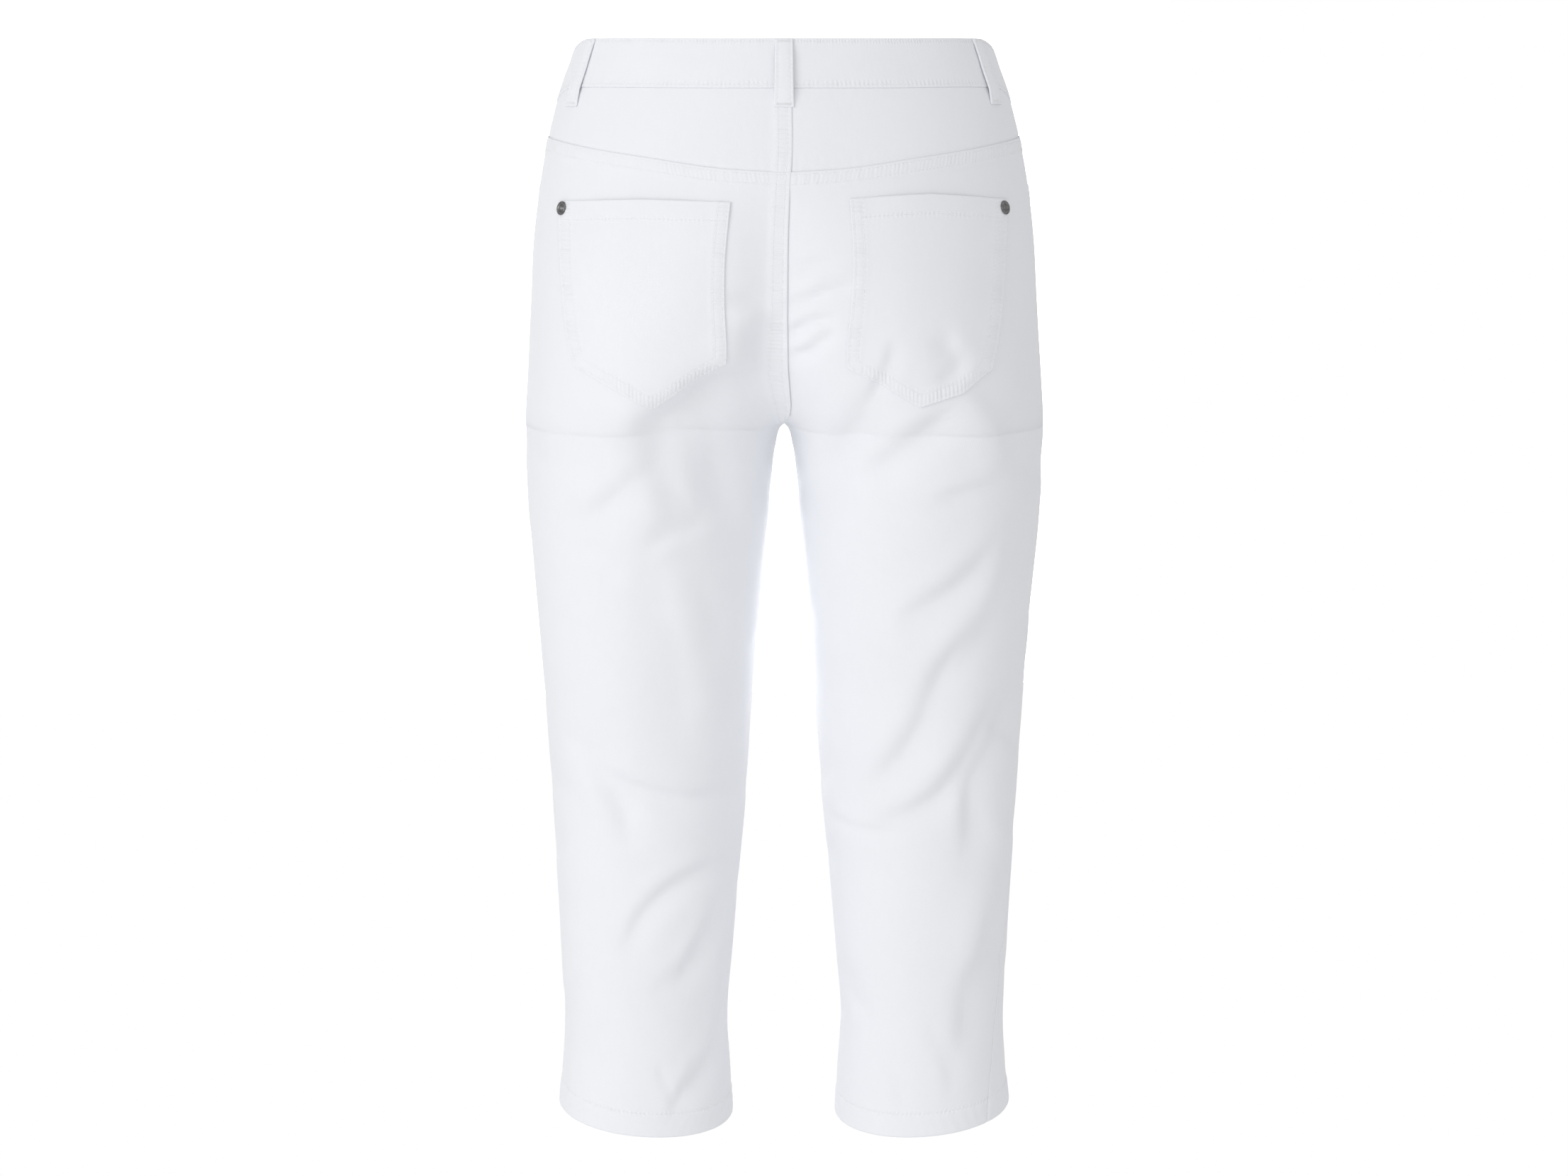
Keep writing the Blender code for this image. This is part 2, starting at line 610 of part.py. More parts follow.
def build():
    for leftover in list(bpy.data.objects):
        bpy.data.objects.remove(leftover, do_unlink=True)
    twill = material("white_twill", (0.83, 0.84, 0.87), 0.85)
    pocketing = material("white_twill_facing", (0.80, 0.81, 0.84), 0.85)
    gunmetal = material("gunmetal", (0.10, 0.10, 0.11), 0.35, 1.0)

    waistband(twill)
    for name, side in SIDES.items():
        yoke("yoke_" + name, side, twill)
        panel("back_" + name, side, BACK, BACK_COLUMNS, twill)
        panel("front_" + name, side, FRONT, FRONT_COLUMNS[name], twill)
        pocket_facing("pocket_facing_" + name, side, pocketing)
    back_pocket("back_pocket_left", LEFT, LEFT_POCKET_EDGES, LEFT_POCKET_LINES, twill)
    back_pocket("back_pocket_right", RIGHT, RIGHT_POCKET_EDGES, RIGHT_POCKET_LINES, twill)
    for name, side, around, length in LOOPS:
        belt_loop(name, side, around, length, twill)
    for name, (side, x, z) in RIVET_PLACES.items():
        rivet("pocket_rivet_" + name, side, x, z, gunmetal)
    button(gunmetal)


build()
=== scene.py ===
"""Looks for the capri pants: every cloth piece as a thin closed shell on the form of its solid,
with its creases, laps, turn-ups and sewing.

Lengths are millimetres until a mesh is made. The wearer faces -Y and the wearer's left is +X. A
place on the garment has a height z and a share "around": 0 at the centre back or the inseam, 1 at
the side seam and 2 at the centre front or the inseam again.
"""

import math

import bmesh
import bpy
import numpy as np
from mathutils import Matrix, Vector


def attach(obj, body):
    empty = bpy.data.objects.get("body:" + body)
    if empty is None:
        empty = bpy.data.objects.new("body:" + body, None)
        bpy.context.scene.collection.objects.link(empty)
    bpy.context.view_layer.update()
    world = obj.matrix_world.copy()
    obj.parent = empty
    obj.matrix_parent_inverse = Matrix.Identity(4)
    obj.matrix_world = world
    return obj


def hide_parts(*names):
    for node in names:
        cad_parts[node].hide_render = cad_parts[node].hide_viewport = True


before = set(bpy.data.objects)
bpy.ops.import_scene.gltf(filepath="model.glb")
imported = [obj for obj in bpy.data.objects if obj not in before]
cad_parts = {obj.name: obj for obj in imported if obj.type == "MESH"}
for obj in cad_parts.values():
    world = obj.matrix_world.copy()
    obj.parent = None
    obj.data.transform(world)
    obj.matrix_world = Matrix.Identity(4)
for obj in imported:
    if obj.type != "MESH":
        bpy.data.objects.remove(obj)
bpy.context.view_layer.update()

MM = 0.001
LEFT = 1
RIGHT = -1
SIDES = {"left": LEFT, "right": RIGHT}
BACK = 1
FRONT = -1

# Sizes that the solids have too.
CLOTH = 1.2
BAND_CLOTH = 2.2
BAND_PROUD = 0.6
BAND_HEIGHT = 34.0
CROTCH_Z = -264.0
CROTCH_SIDE_Z = -258.0
HEM_TURN_UP = 17.0
HEM_CLOTH = 2.3
POCKET_MOUTH_SHARE = 0.5
POCKET_MOUTH_DROP = 58.0
MOUTH_GAPE = 1.5
BAND_OVER = 8.0
BAND_UNDER = 28.0
LOOP_WIDTH = 12.8

# How cloth turns in at its edges and dips at its seams.
FOLD_ROUND = 0.38
HEM_ROUND = 1.1
LEAST_CLOTH = 0.05
BUTT_GAP = 0.05
SIDE_SEAM_REACH = 1.1
SEAM_REACH = 1.4
FAR = 99.0

# The skin, a row for each height: the outer half width from the centre plane, how near the
# centre plane the oval's inner edge comes (past it while negative), the rounding of the web
# between the two ovals, the front and back of the oval, its middle, and how square its inner
# front quarter is (2 is an ellipse).
BODY_COLUMNS = ("z", "half_width", "inner_edge", "web", "front", "back", "middle", "square")
BODY = (
    (30.0, 143.0, -143.0, 0.0, -95.0, 94.0, 0.0, 2.1),
    (10.0, 146.6, -146.6, 0.0, -98.0, 98.0, 0.0, 2.1),
    (-10.0, 152.7, -152.7, 0.0, -101.0, 102.0, 0.0, 2.1),
    (-30.0, 160.0, -158.6, 0.5, -104.0, 106.5, 0.0, 2.15),
    (-60.0, 167.6, -157.0, 3.0, -107.5, 113.5, 1.0, 2.2),
    (-100.0, 174.9, -139.0, 9.0, -111.0, 122.0, 2.0, 2.35),
    (-130.0, 178.8, -116.0, 14.0, -111.5, 127.0, 3.0, 2.5),
    (-170.0, 181.4, -80.0, 18.0, -110.0, 131.0, 4.0, 2.6),
    (-205.0, 183.4, -46.0, 18.0, -106.0, 130.0, 5.0, 2.6),
    (-230.0, 184.5, -21.0, 14.0, -102.0, 126.0, 5.0, 2.5),
    (-248.0, 185.1, -6.0, 9.0, -99.5, 121.5, 5.0, 2.35),
    (-264.0, 185.2, 4.5, 4.5, -97.0, 116.5, 5.0, 2.2),
    (-280.0, 185.3, 8.0, 4.6, -96.0, 113.0, 5.0, 2.1),
    (-300.0, 185.0, 9.0, 3.0, -95.0, 109.5, 5.0, 2.0),
    (-330.0, 183.6, 11.3, 1.5, -93.0, 104.0, 5.0, 2.0),
    (-370.0, 180.0, 14.7, 0.0, -89.0, 97.5, 4.5, 2.0),
    (-420.0, 175.8, 19.2, 0.0, -83.0, 89.0, 4.0, 2.0),
    (-480.0, 171.7, 23.9, 0.0, -74.0, 79.5, 3.5, 2.0),
    (-540.0, 168.2, 28.2, 0.0, -66.0, 74.0, 4.0, 2.0),
    (-600.0, 164.8, 33.9, 0.0, -58.5, 71.5, 6.0, 2.0),
    (-650.0, 162.1, 38.0, 0.0, -53.5, 69.0, 7.5, 2.0),
    (-700.0, 159.8, 41.3, 0.0, -50.5, 67.5, 8.5, 2.0),
    (-735.0, 161.8, 39.0, 0.0, -51.5, 69.5, 9.0, 2.0),
    (-766.0, 164.8, 37.4, 0.0, -53.5, 72.0, 9.5, 2.0),
    (-800.0, 167.0, 36.0, 0.0, -55.0, 74.0, 10.0, 2.0),
)
OVAL_POWER = 2.1

# How far each seam has turned towards the back round the right leg, in degrees.
RIGHT_TURN_COLUMNS = ("z", "degrees")
RIGHT_TURN = (
    (-800.0, 48.0), (-773.0, 46.0), (-700.0, 30.0), (-620.0, 16.0), (-520.0, 5.0), (-400.0, 0.0),
)

# Heights of the edges that run round the garment.
EDGE_COLUMNS = ("around", "z")
WAIST_EDGE = (
    (0.0, 10.0), (0.4, 10.0), (0.7, 10.0), (0.83, 9.0), (0.92, 4.5), (1.0, -1.5), (1.2, -8.0),
    (1.6, -13.0), (2.0, -15.0),
)
YOKE_SEAM = ((0.0, -81.5), (0.2, -78.5), (0.4, -72.5), (0.6, -67.0), (0.8, -62.0), (1.0, -59.0))

# The hem lies in a tilted plane, lower at the back and a little lower at the inside.
HEM_Z = -763.5
HEM_BACK_DROP = 9.5
HEM_INSIDE_DROP = 4.5

# The back pockets: where their sides stand at each height, and the heights of their top and
# bottom edges at each share of the way across.
POCKET_EDGE_COLUMNS = ("z", "inner_x", "outer_x")
POCKET_LINE_COLUMNS = ("across", "top", "bottom")
POCKETS = {
    "left": {
        "side": LEFT,
        "edges": (
            (-245.0, 41.0, 140.0), (-215.0, 39.5, 145.5), (-199.0, 39.5, 150.0),
            (-174.0, 40.5, 153.5), (-147.0, 40.5, 156.0), (-101.0, 36.5, 157.5),
        ),
        "lines": ((0.0, -101.5, -213.5), (0.5, -100.5, -246.0), (1.0, -103.0, -216.5)),
    },
    "right": {
        "side": RIGHT,
        "edges": (
            (-245.0, 46.0, 141.0), (-218.0, 43.5, 144.5), (-199.0, 43.5, 148.5),
            (-174.0, 46.0, 152.0), (-147.0, 47.5, 154.0), (-98.0, 45.0, 156.0),
        ),
        "lines": (
            (0.0, -99.5, -215.0), (0.22, -98.0, -227.0), (0.5, -97.0, -242.5), (0.8, -99.5, -233.5),
            (1.0, -102.0, -218.0),
        ),
    },
}

# The creases. Each is a soft trough (a ridge where its depth is less than 0) along a line of
# places, with a width, a depth and the side of the line on which its wall is steep (0 for
# neither).
CREASES = {
    "back": (
        (((4, -104), (6, -150), (5, -196), (3, -236)), 22, 7.5, 0),
        (((88, -300), (70, -302), (50, -297), (28, -284)), 40, 7.5, 0),
        (((104, -268), (88, -259), (64, -247), (40, -235), (12, -226)), 18, 9.5, -1),
        (((80, -268), (50, -240), (20, -212)), 34, 5.0, 0),
        (((10, -184), (12, -210), (10, -240)), 18, 6.0, 1),
        (((-76, -200), (-70, -218), (-60, -240)), 6, 1.8, 1),
        (((-109, -190), (-114, -204), (-121, -224)), 9, 2.2, -1),
        (((-128, -206), (-120, -216), (-106, -228)), 6, 1.2, 0),
        (((90, -287), (105, -300), (122, -314), (146, -328)), 12, 3.2, 1),
        (((49, -326), (70, -331), (95, -342)), 8, 2.6, -1),
        (((146, -340), (128, -352), (120, -372)), 10, 1.6, 0),
        (((92, -358), (84, -400), (78, -440), (70, -486)), 17, 2.6, -1),
        (((60, -368), (50, -396), (48, -430)), 11, 1.8, -1),
        (((146, -488), (128, -512), (115, -534), (109, -554)), 11, 4.2, 1),
        (((128, -511), (102, -519), (68, -528), (44, -528), (29, -533)), 8, 4.2, -1),
        (((40, -574), (64, -585), (89, -600), (101, -612), (112, -634)), 9, 4.0, 1),
        (((46, -606), (52, -626), (62, -641), (72, -660)), 8, 3.4, 1),
        (((50, -631), (70, -652), (90, -668)), 9, 1.6, 1),
        (((38, -664), (45, -706), (56, -727), (70, -744), (78, -754)), 8, 3.6, 1),
        (((-62, -236), (-54, -254), (-45, -272), (-32, -298), (-14, -332)), 15, 5.2, 1),
        (((-118, -246), (-98, -264), (-80, -278), (-56, -295)), 12, 4.4, 1),
        (((-121, -230), (-135, -251), (-145, -272), (-153, -298)), 13, -3.0, -1),
        (((-152, -299), (-130, -304), (-106, -312)), 8, 2.2, 1),
        (((-151, -322), (-145, -360), (-134, -394), (-118, -426)), 12, -2.6, -1),
        (((-152, -342), (-132, -364), (-110, -382), (-88, -397)), 12, 4.4, 1),
        (((-136, -402), (-114, -436), (-97, -474), (-66, -518)), 12, 4.4, 1),
        (((-154, -456), (-136, -493), (-110, -524), (-72, -547)), 11, 4.4, 1),
        (((-169, -446), (-152, -492), (-139, -516), (-132, -562)), 10, 3.5, 1),
        (((-165, -533), (-150, -578), (-137, -621), (-133, -656)), 12, -3.0, -1),
        (((-148, -640), (-134, -672), (-130, -712)), 12, 2.4, 1),
        (((-30, -547), (-52, -550), (-76, -553)), 5, 1.5, -1),
        (((-38, -652), (-50, -674), (-62, -694)), 7, 1.8, 1),
        (((36, -166), (20, -168), (6, -167)), 6, 2.2, 0),
        (((36, -179), (20, -181), (6, -180)), 6, -1.6, 0),
        (((-4, -147), (-17, -144), (-34, -142)), 5, 1.8, -1),
        (((-4, -172), (-15, -168), (-24, -164), (-45, -158)), 5, 3.4, -1),
        (((-4, -195), (-12, -188), (-22, -183), (-33, -181)), 5, 3.6, -1),
        (((-5, -215), (-15, -207), (-23, -199), (-34, -192)), 5, 3.6, -1),
        (((90, -722), (84, -736), (78, -752)), 4, 0.9, 0),
        (((62, -716), (70, -732), (76, -750)), 4, 0.9, 0),
        (((126, -690), (134, -706), (138, -730)), 9, 1.0, 1),
        (((-72, -712), (-80, -730), (-86, -750)), 7, 0.9, 1),
        (((-104, -690), (-116, -714), (-122, -744)), 8, 1.0, 1),
    ),
    "front": (
        (((24, -222), (58, -209), (92, -196)), 10, 3.8, 0),
        (((-26, -216), (-55, -207), (-84, -198)), 10, 3.8, 0),
        (((30, -262), (67, -271), (104, -280)), 12, 4.5, 0),
        (((-28, -268), (-70, -272), (-112, -276)), 12, 4.5, 0),
        (((52, -478), (90, -485), (128, -492)), 10, 3.8, 0),
        (((-46, -500), (-84, -491), (-122, -482)), 10, 3.8, 0),
        (((60, -560), (91, -582), (122, -604)), 10, 3.8, 0),
        (((-60, -640), (-92, -619), (-124, -598)), 10, 3.8, 0),
        (((12, -246), (38, -231), (66, -222)), 7, 2.1, 1),
        (((-12, -238), (-34, -228), (-58, -224)), 7, 1.9, -1),
        (((16, -196), (36, -184), (58, -176)), 7, 1.3, 1),
        (((-16, -190), (-38, -179), (-62, -172)), 7, 1.3, -1),
        (((118, -250), (136, -241), (156, -236)), 8, 1.4, 1),
        (((-112, -246), (-133, -241), (-152, -232)), 8, 1.4, -1),
        (((40, -318), (69, -323), (96, -334)), 10, 1.6, 1),
        (((-44, -326), (-74, -328), (-104, -336)), 10, 1.6, -1),
        (((140, -452), (123, -459), (104, -462)), 8, 1.8, 1),
        (((-138, -446), (-114, -454), (-92, -466)), 8, 1.8, 1),
        (((44, -514), (74, -516), (104, -524)), 9, 2.2, 1),
        (((-42, -528), (-69, -517), (-98, -512)), 9, 2.2, -1),
        (((150, -544), (141, -563), (128, -580)), 8, 1.9, 1),
        (((-150, -556), (-138, -572), (-130, -590)), 8, 1.8, 1),
        (((58, -656), (76, -672), (92, -690)), 9, 1.6, 1),
        (((-52, -690), (-67, -705), (-84, -716)), 9, 1.4, 1),
        (((116, -700), (125, -719), (130, -740)), 8, 1.3, 1),
        (((-118, -700), (-121, -722), (-128, -744)), 8, 1.3, 1),
    ),
    "left": (
        (((70, -282), (30, -279), (-10, -270)), 11, 2.4, 1),
        (((60, -512), (29, -523), (-4, -528)), 10, 2.4, 1),
        (((40, -560), (11, -576), (-20, -586)), 10, 2.2, 1),
        (((-40, -440), (-14, -448), (10, -462)), 10, 1.8, 1),
        (((46, -664), (25, -679), (2, -690)), 9, 1.6, -1),
        (((-44, -330), (-8, -336), (26, -348)), 11, 1.4, 1),
        (((20, -724), (28, -737), (34, -750)), 7, 1.3, 1),
    ),
    "right": (
        (((66, -300), (23, -296), (-20, -286)), 11, 2.6, 1),
        (((62, -470), (35, -488), (6, -500)), 10, 2.6, 1),
        (((48, -540), (17, -556), (-16, -566)), 10, 2.2, 1),
        (((-46, -420), (-15, -427), (14, -440)), 10, 1.8, 1),
        (((42, -640), (17, -658), (-10, -672)), 9, 1.8, -1),
        (((40, -392), (17, -399), (-6, -402)), 10, 1.6, 1),
        (((-18, -718), (2, -730), (20, -744)), 7, 1.3, 1),
    ),
    "left_inseam": (
        (((60, -300), (16, -312), (-30, -318)), 11, 2.2, 1),
        (((50, -516), (11, -526), (-30, -530)), 10, 2.4, 1),
        (((44, -580), (18, -595), (-10, -604)), 9, 1.9, -1),
        (((36, -690), (21, -705), (4, -716)), 9, 1.6, 1),
        (((-40, -404), (-4, -411), (30, -424)), 10, 1.6, 1),
    ),
    "right_inseam": (
        (((56, -312), (11, -309), (-34, -300)), 11, 2.4, 1),
        (((52, -506), (14, -518), (-26, -524)), 10, 2.4, 1),
        (((40, -566), (11, -576), (-20, -580)), 9, 1.9, -1),
        (((34, -676), (18, -692), (0, -704)), 9, 1.6, 1),
        (((-36, -416), (-2, -404), (34, -398)), 10, 1.6, 1),
    ),
}
# Where each view's creases are measured: the axis across, the way the cloth faces, and the side
# of the centre plane (0 for both).
VIEWS = {
    "back": (0, 1, 1, 0), "front": (0, 1, -1, 0),
    "left": (1, 0, 1, LEFT), "right": (1, 0, -1, RIGHT),
    "left_inseam": (1, 0, -1, LEFT), "right_inseam": (1, 0, 1, RIGHT),
}

# Offsets of columns and rows from an edge, close together where sewing shapes the cloth.
NEAR_SEWN = (0.0, 0.5, 1.1, 1.9, 2.7, 3.5, 4.3, 5.4, 6.6, 7.7, 8.7, 9.6, 10.5, 11.6, 13.2, 15.5)
NEAR_PLAIN = (0.0, 0.5, 1.2, 2.4, 4.4, 7.0)
NEAR_CROTCH = (0.3, 1.0, 2.2, 4.0, 6.5, 9.5, 13.0)
NEAR_HEM = (
    22.0, 20.0, 18.8, 17.9, 17.0, 16.1, 15.0, 13.0, 10.8, 8.4, 6.0, 4.0, 2.4, 1.4, 0.7, 0.25, 0.0,
)
TORSO_ROWS = 72
LEG_ROWS = 210
BACK_MIDDLE_COLUMNS = 100
FRONT_MIDDLE_COLUMNS = 40
CROTCH_EASE = 4
# The columns beyond the front pocket's inner corner, as shares of its distance from the side:
# crowded at the corner, where the scoop is steep. Below the pocket they even out.
SPREAD_EVENS = (-130.0, -230.0)
MOUTH_BEND = math.radians(49)
MOUTH_SPREAD = tuple(np.sin(np.linspace(math.pi / 2, MOUTH_BEND, 16))) + tuple(
    np.linspace(math.sin(MOUTH_BEND), 0.0, 36)[1:]
)


# ---------------------------------------------------------------------------------- the skin


def paired(*columns):
    """Columns of numbers side by side, a row for each point."""
    return np.stack(columns, axis=1)


def smooth_line(place, value, at):
    """A smooth curve through values at rising places, read at other places."""
    step = np.diff(place)
    rise = np.diff(value) / step
    between = (step[1:] * rise[:-1] + step[:-1] * rise[1:]) / (step[1:] + step[:-1])
    slope = np.concatenate([rise[:1], between, rise[-1:]])
    at = np.clip(np.asarray(at, float), place[0], place[-1])
    cell = np.clip(np.searchsorted(place, at, side="right") - 1, 0, len(step) - 1)
    width = step[cell]
    s = (at - place[cell]) / width
    start = value[cell] * (1 + 2 * s) * (1 - s) ** 2 + width * slope[cell] * s * (1 - s) ** 2
    end = value[cell + 1] * s * s * (3 - 2 * s) + width * slope[cell + 1] * s * s * (s - 1)
    return start + end


def column(table, columns, name, at, key):
    """A column of a table, read at each value of its key on a smooth curve through its rows."""
    rows = np.array(sorted((row[columns.index(key)], row[columns.index(name)]) for row in table))
    return smooth_line(rows[:, 0], rows[:, 1], at)


def smooth_step(low, high, value):
    """From 0 at low to 1 at high, easing in and out."""
    share = np.clip((value - low) / (high - low), 0.0, 1.0)
    return share * share * (3 - 2 * share)


def body(name, z):
    """A size of the skin at each height."""
    return column(BODY, BODY_COLUMNS, name, z, "z")


def edge(table, around):
    """The height of an edge that runs round the garment."""
    return column(table, EDGE_COLUMNS, "z", around, "around")


def turn(side, z):
    """How far the seams have turned round the leg, in radians."""
    if side == LEFT:
        return np.zeros_like(z)
    return np.radians(column(RIGHT_TURN, RIGHT_TURN_COLUMNS, "degrees", z, "z"))


def hem_edge(side, around):
    """The height of a leg's hem, by how far the seams have turned there."""
    angle = turn(side, np.full_like(around, HEM_Z)) + (1 - around) * math.pi
    return HEM_Z - HEM_BACK_DROP * np.sin(angle) + HEM_INSIDE_DROP * np.cos(angle)


def oval(z):
    """The oval at each height: centre, half width, web rounding, middle, front and back depth."""
    outer = body("half_width", z)
    inner = body("inner_edge", z)
    web = np.maximum(body("web", z), 0.0)
    middle = body("middle", z)
    front = middle - body("front", z)
    back = body("back", z) - middle
    return (outer + inner) / 2, (outer - inner) / 2, web, middle, front, back


def misfit(x, y, z):
    """Zero on the skin, negative inside it."""
    centre, half, web, middle, front, back = oval(z)
    lobe_x = (np.sqrt(x * x + web * web) - centre) / half
    depth = (y - middle) / np.where(y > middle, back, front)
    inner_power = np.where(y > middle, OVAL_POWER, body("square", z))
    power = np.where(lobe_x < 0, inner_power, OVAL_POWER)
    return np.abs(lobe_x) ** power + np.abs(depth) ** power - 1


def outward(x, y, z):
    """Unit normals of the skin, from how its misfit grows."""
    probe = 0.05
    grad = np.stack(
        [
            misfit(x + probe, y, z) - misfit(x - probe, y, z),
            misfit(x, y + probe, z) - misfit(x, y - probe, z),
            misfit(x, y, z + probe) - misfit(x, y, z - probe),
        ],
        axis=1,
    )
    return grad / np.linalg.norm(grad, axis=1)[:, None]


def half_ring(side, view, z, samples=110, crowding=1.6):
    """One half of the ring at each height, as points from its inner edge to the side seam."""
    centre, half, web, middle, front, back = (value[:, None] for value in oval(z))
    inner_power = np.where(view == BACK, OVAL_POWER, body("square", z))[:, None]
    reach = np.clip((centre - web) / half, 0.0, 1.0)
    inner_angle = np.arccos(-(reach ** (inner_power / 2)))
    share = np.linspace(0.0, 1.0, samples)[None, :] ** crowding
    angle = turn(side, z)[:, None] + view[:, None] * inner_angle * (1 - share)
    cos, sin = np.cos(angle), np.sin(angle)
    inner_quarter = np.where(sin > 0, OVAL_POWER, body("square", z)[:, None])
    power = np.where(cos < 0, inner_quarter, OVAL_POWER)
    lobe_x = centre + half * np.sign(cos) * np.abs(cos) ** (2 / power)
    x = np.sqrt(np.maximum(lobe_x**2 - web**2, 0.0))
    y = middle + np.where(sin > 0, back, front) * np.sign(sin) * np.abs(sin) ** (2 / power)
    return x, y


def skin(side, around, z):
    """Points of the bare skin and their normals."""
    around, z = np.broadcast_arrays(np.asarray(around, float), np.asarray(z, float))
    beyond = (around > 2) | (around < 0)
    near = np.where(around > 2, 4 - around, np.abs(around))
    view = np.where(near <= 1, BACK, FRONT)
    share = np.where(near <= 1, near, 2 - near)
    xs, ys = half_ring(side, view, z)
    steps = np.hypot(np.diff(xs), np.diff(ys))
    run = np.concatenate([np.zeros((len(z), 1)), np.cumsum(steps, axis=1)], axis=1)
    target = (share * run[:, -1])[:, None]
    cell = np.clip((run < target).sum(axis=1) - 1, 0, xs.shape[1] - 2)
    row = np.arange(len(z))
    part = (target[:, 0] - run[row, cell]) / np.maximum(run[row, cell + 1] - run[row, cell], 1e-9)
    x = xs[row, cell] + part * (xs[row, cell + 1] - xs[row, cell])
    y = ys[row, cell] + part * (ys[row, cell + 1] - ys[row, cell])
    x = np.where(beyond, -x, x)
    return sided(side, paired(x, y, z), outward(x, y, z))


def sided(side, points, normals):
    """Points and normals of the left side, mirrored where the right is asked for."""
    points[:, 0] *= side
    normals[:, 0] *= side
    return points, normals


def ring_length(side, view, z):
    """Half of the way round the skin at each height, read from a table worked out once."""
    key = (side, view)
    if key not in RING_LENGTHS:
        heights = np.arange(-800.0, 31.0, 2.0)
        xs, ys = half_ring(side, np.full(heights.shape, view), heights)
        RING_LENGTHS[key] = heights, np.hypot(np.diff(xs), np.diff(ys)).sum(axis=1)
    return np.interp(z, *RING_LENGTHS[key])


RING_LENGTHS = {}
CROTCH_SPAN = (-300.0, -225.0)


def even_length(side, view, z):
    """Half of the way round, without the sudden growth where a ring first takes in the crotch."""
    low, high = CROTCH_SPAN
    share = np.clip((z - low) / (high - low), 0.0, 1.0)
    ends = ring_length(side, view, np.array([low, high]))
    within = (z > low) & (z < high)
    return np.where(within, ends[0] + (ends[1] - ends[0]) * share, ring_length(side, view, z))


def seat_skin(side, x, z):
    """Points of the skin on the seat at x and z, and their normals."""
    centre, half, web, middle, _, back = oval(z)
    lobe_x = np.abs((np.sqrt(x * x + web * web) - centre) / half)
    y = middle + back * (1 - lobe_x**OVAL_POWER) ** (1 / OVAL_POWER)
    return sided(side, paired(x, y, z), outward(x, y, z))


# ------------------------------------------------------------------------------- the creases


# How squarely the cloth has to face a view for its creases to count in full, how far above the
# crotch the creases of a leg's own sides reach, and the calm beside its seam.
FULLY_FACING = 0.45
LEG_CREASES_RISE = 60.0
SEAM_CALM = 0.8
SEAM_CALM_Y = 4.0
SEAM_CALM_SPREAD = 26.0
# The form of a crease, in shares of its width or of its length.
CREASE_FADE = 0.2
CREASE_FULL = 0.28
CREASE_REACH = 3.5
CREASE_WANDER = 0.10
CREASE_UNEVENNESS = 0.15
STEEP_WALL = 0.25
LIP_HEIGHT = 0.22
LIP_FROM_LINE = 1.35
LIP_WIDTH = 0.85


def crease_depth(points, normals):
    """How deep the creases lie under each point of the skin."""
    depth = np.zeros(len(points))
    for view, creases in CREASES.items():
        across_axis, facing_axis, facing_way, side = VIEWS[view]
        facing = smooth_step(0.0, FULLY_FACING, facing_way * normals[:, facing_axis])
        if side:
            on_leg = (side * points[:, 0] > -1.0) * (points[:, 2] < CROTCH_Z + LEG_CREASES_RISE)
            from_seam = (points[:, 1] - SEAM_CALM_Y) / SEAM_CALM_SPREAD
            facing = facing * on_leg * (1 - SEAM_CALM * np.exp(-(from_seam**2)))
        for line, width, deep, steep in creases:
            line = np.array(line, float)
            run = line[-1] - line[0]
            length = np.linalg.norm(run)
            frame_axes = paired(run, (-run[1], run[0])) / length
            knots = (line - line[0]) @ frame_axes
            place = (points[:, [across_axis, 2]] - line[0]) @ frame_axes
            along = place[:, 0] / length
            near = (facing > 0) & (along > -CREASE_FADE) & (along < 1 + CREASE_FADE)
            reach = CREASE_REACH * width + np.abs(knots[:, 1]).max()
            near[near] = np.abs(place[near, 1]) < reach
            if not near.any():
                continue
            along = along[near]
            across = place[near, 1] - smooth_line(knots[:, 0] / length, knots[:, 1], along)
            across = across + CREASE_WANDER * width * np.sin(along * 7.0 + line[0][0])
            half_width = width * (1 - STEEP_WALL * steep * np.tanh(across / (0.4 * width)))
            trough = np.exp(-((across / half_width) ** 2))
            if steep:
                lip = (across / width - LIP_FROM_LINE * steep) / LIP_WIDTH
                trough = trough - LIP_HEIGHT * np.exp(-(lip**2))
            ends = smooth_step(-CREASE_FADE, CREASE_FULL, along)
            ends = ends * smooth_step(1 + CREASE_FADE, 1 - CREASE_FULL, along)
            uneven = 1.0 + CREASE_UNEVENNESS * np.sin(along * 9.0 + line[0][1])
            depth[near] += deep * trough * ends * uneven * facing[near]
    return depth


# How far cloth fills out the fold at the crotch's height, and how much it waves where slack.
SEAT_FILL = 0.7
SEAT_FILL_SPREAD = 17.0
SMALL_SLACK = 0.16
BROAD_SLACK = 0.34


def slack(points):
    """The slight unevenness of cloth that nothing pulls flat."""
    x, y, z = points.T
    wave = np.sin(x / 13.0 + 1.7 * np.sin(z / 37.0)) * np.cos(z / 21.0 + y / 17.0 + 0.6)
    slow = np.sin(z / 47.0 + x / 29.0 + 0.9) * np.cos(y / 23.0 - x / 41.0)
    return SMALL_SLACK * wave + BROAD_SLACK * slow


def on_cloth(points, normals, lift):
    """Points moved out from the creased skin. The fold under the seat is a little filled."""
    fill = SEAT_FILL * np.exp(-(((points[:, 2] - CROTCH_Z) / SEAT_FILL_SPREAD) ** 2))
    out = lift + fill - crease_depth(points, normals) + slack(points)
    return points + normals * out[:, None]


# ------------------------------------------------------------------- how sewing shapes cloth


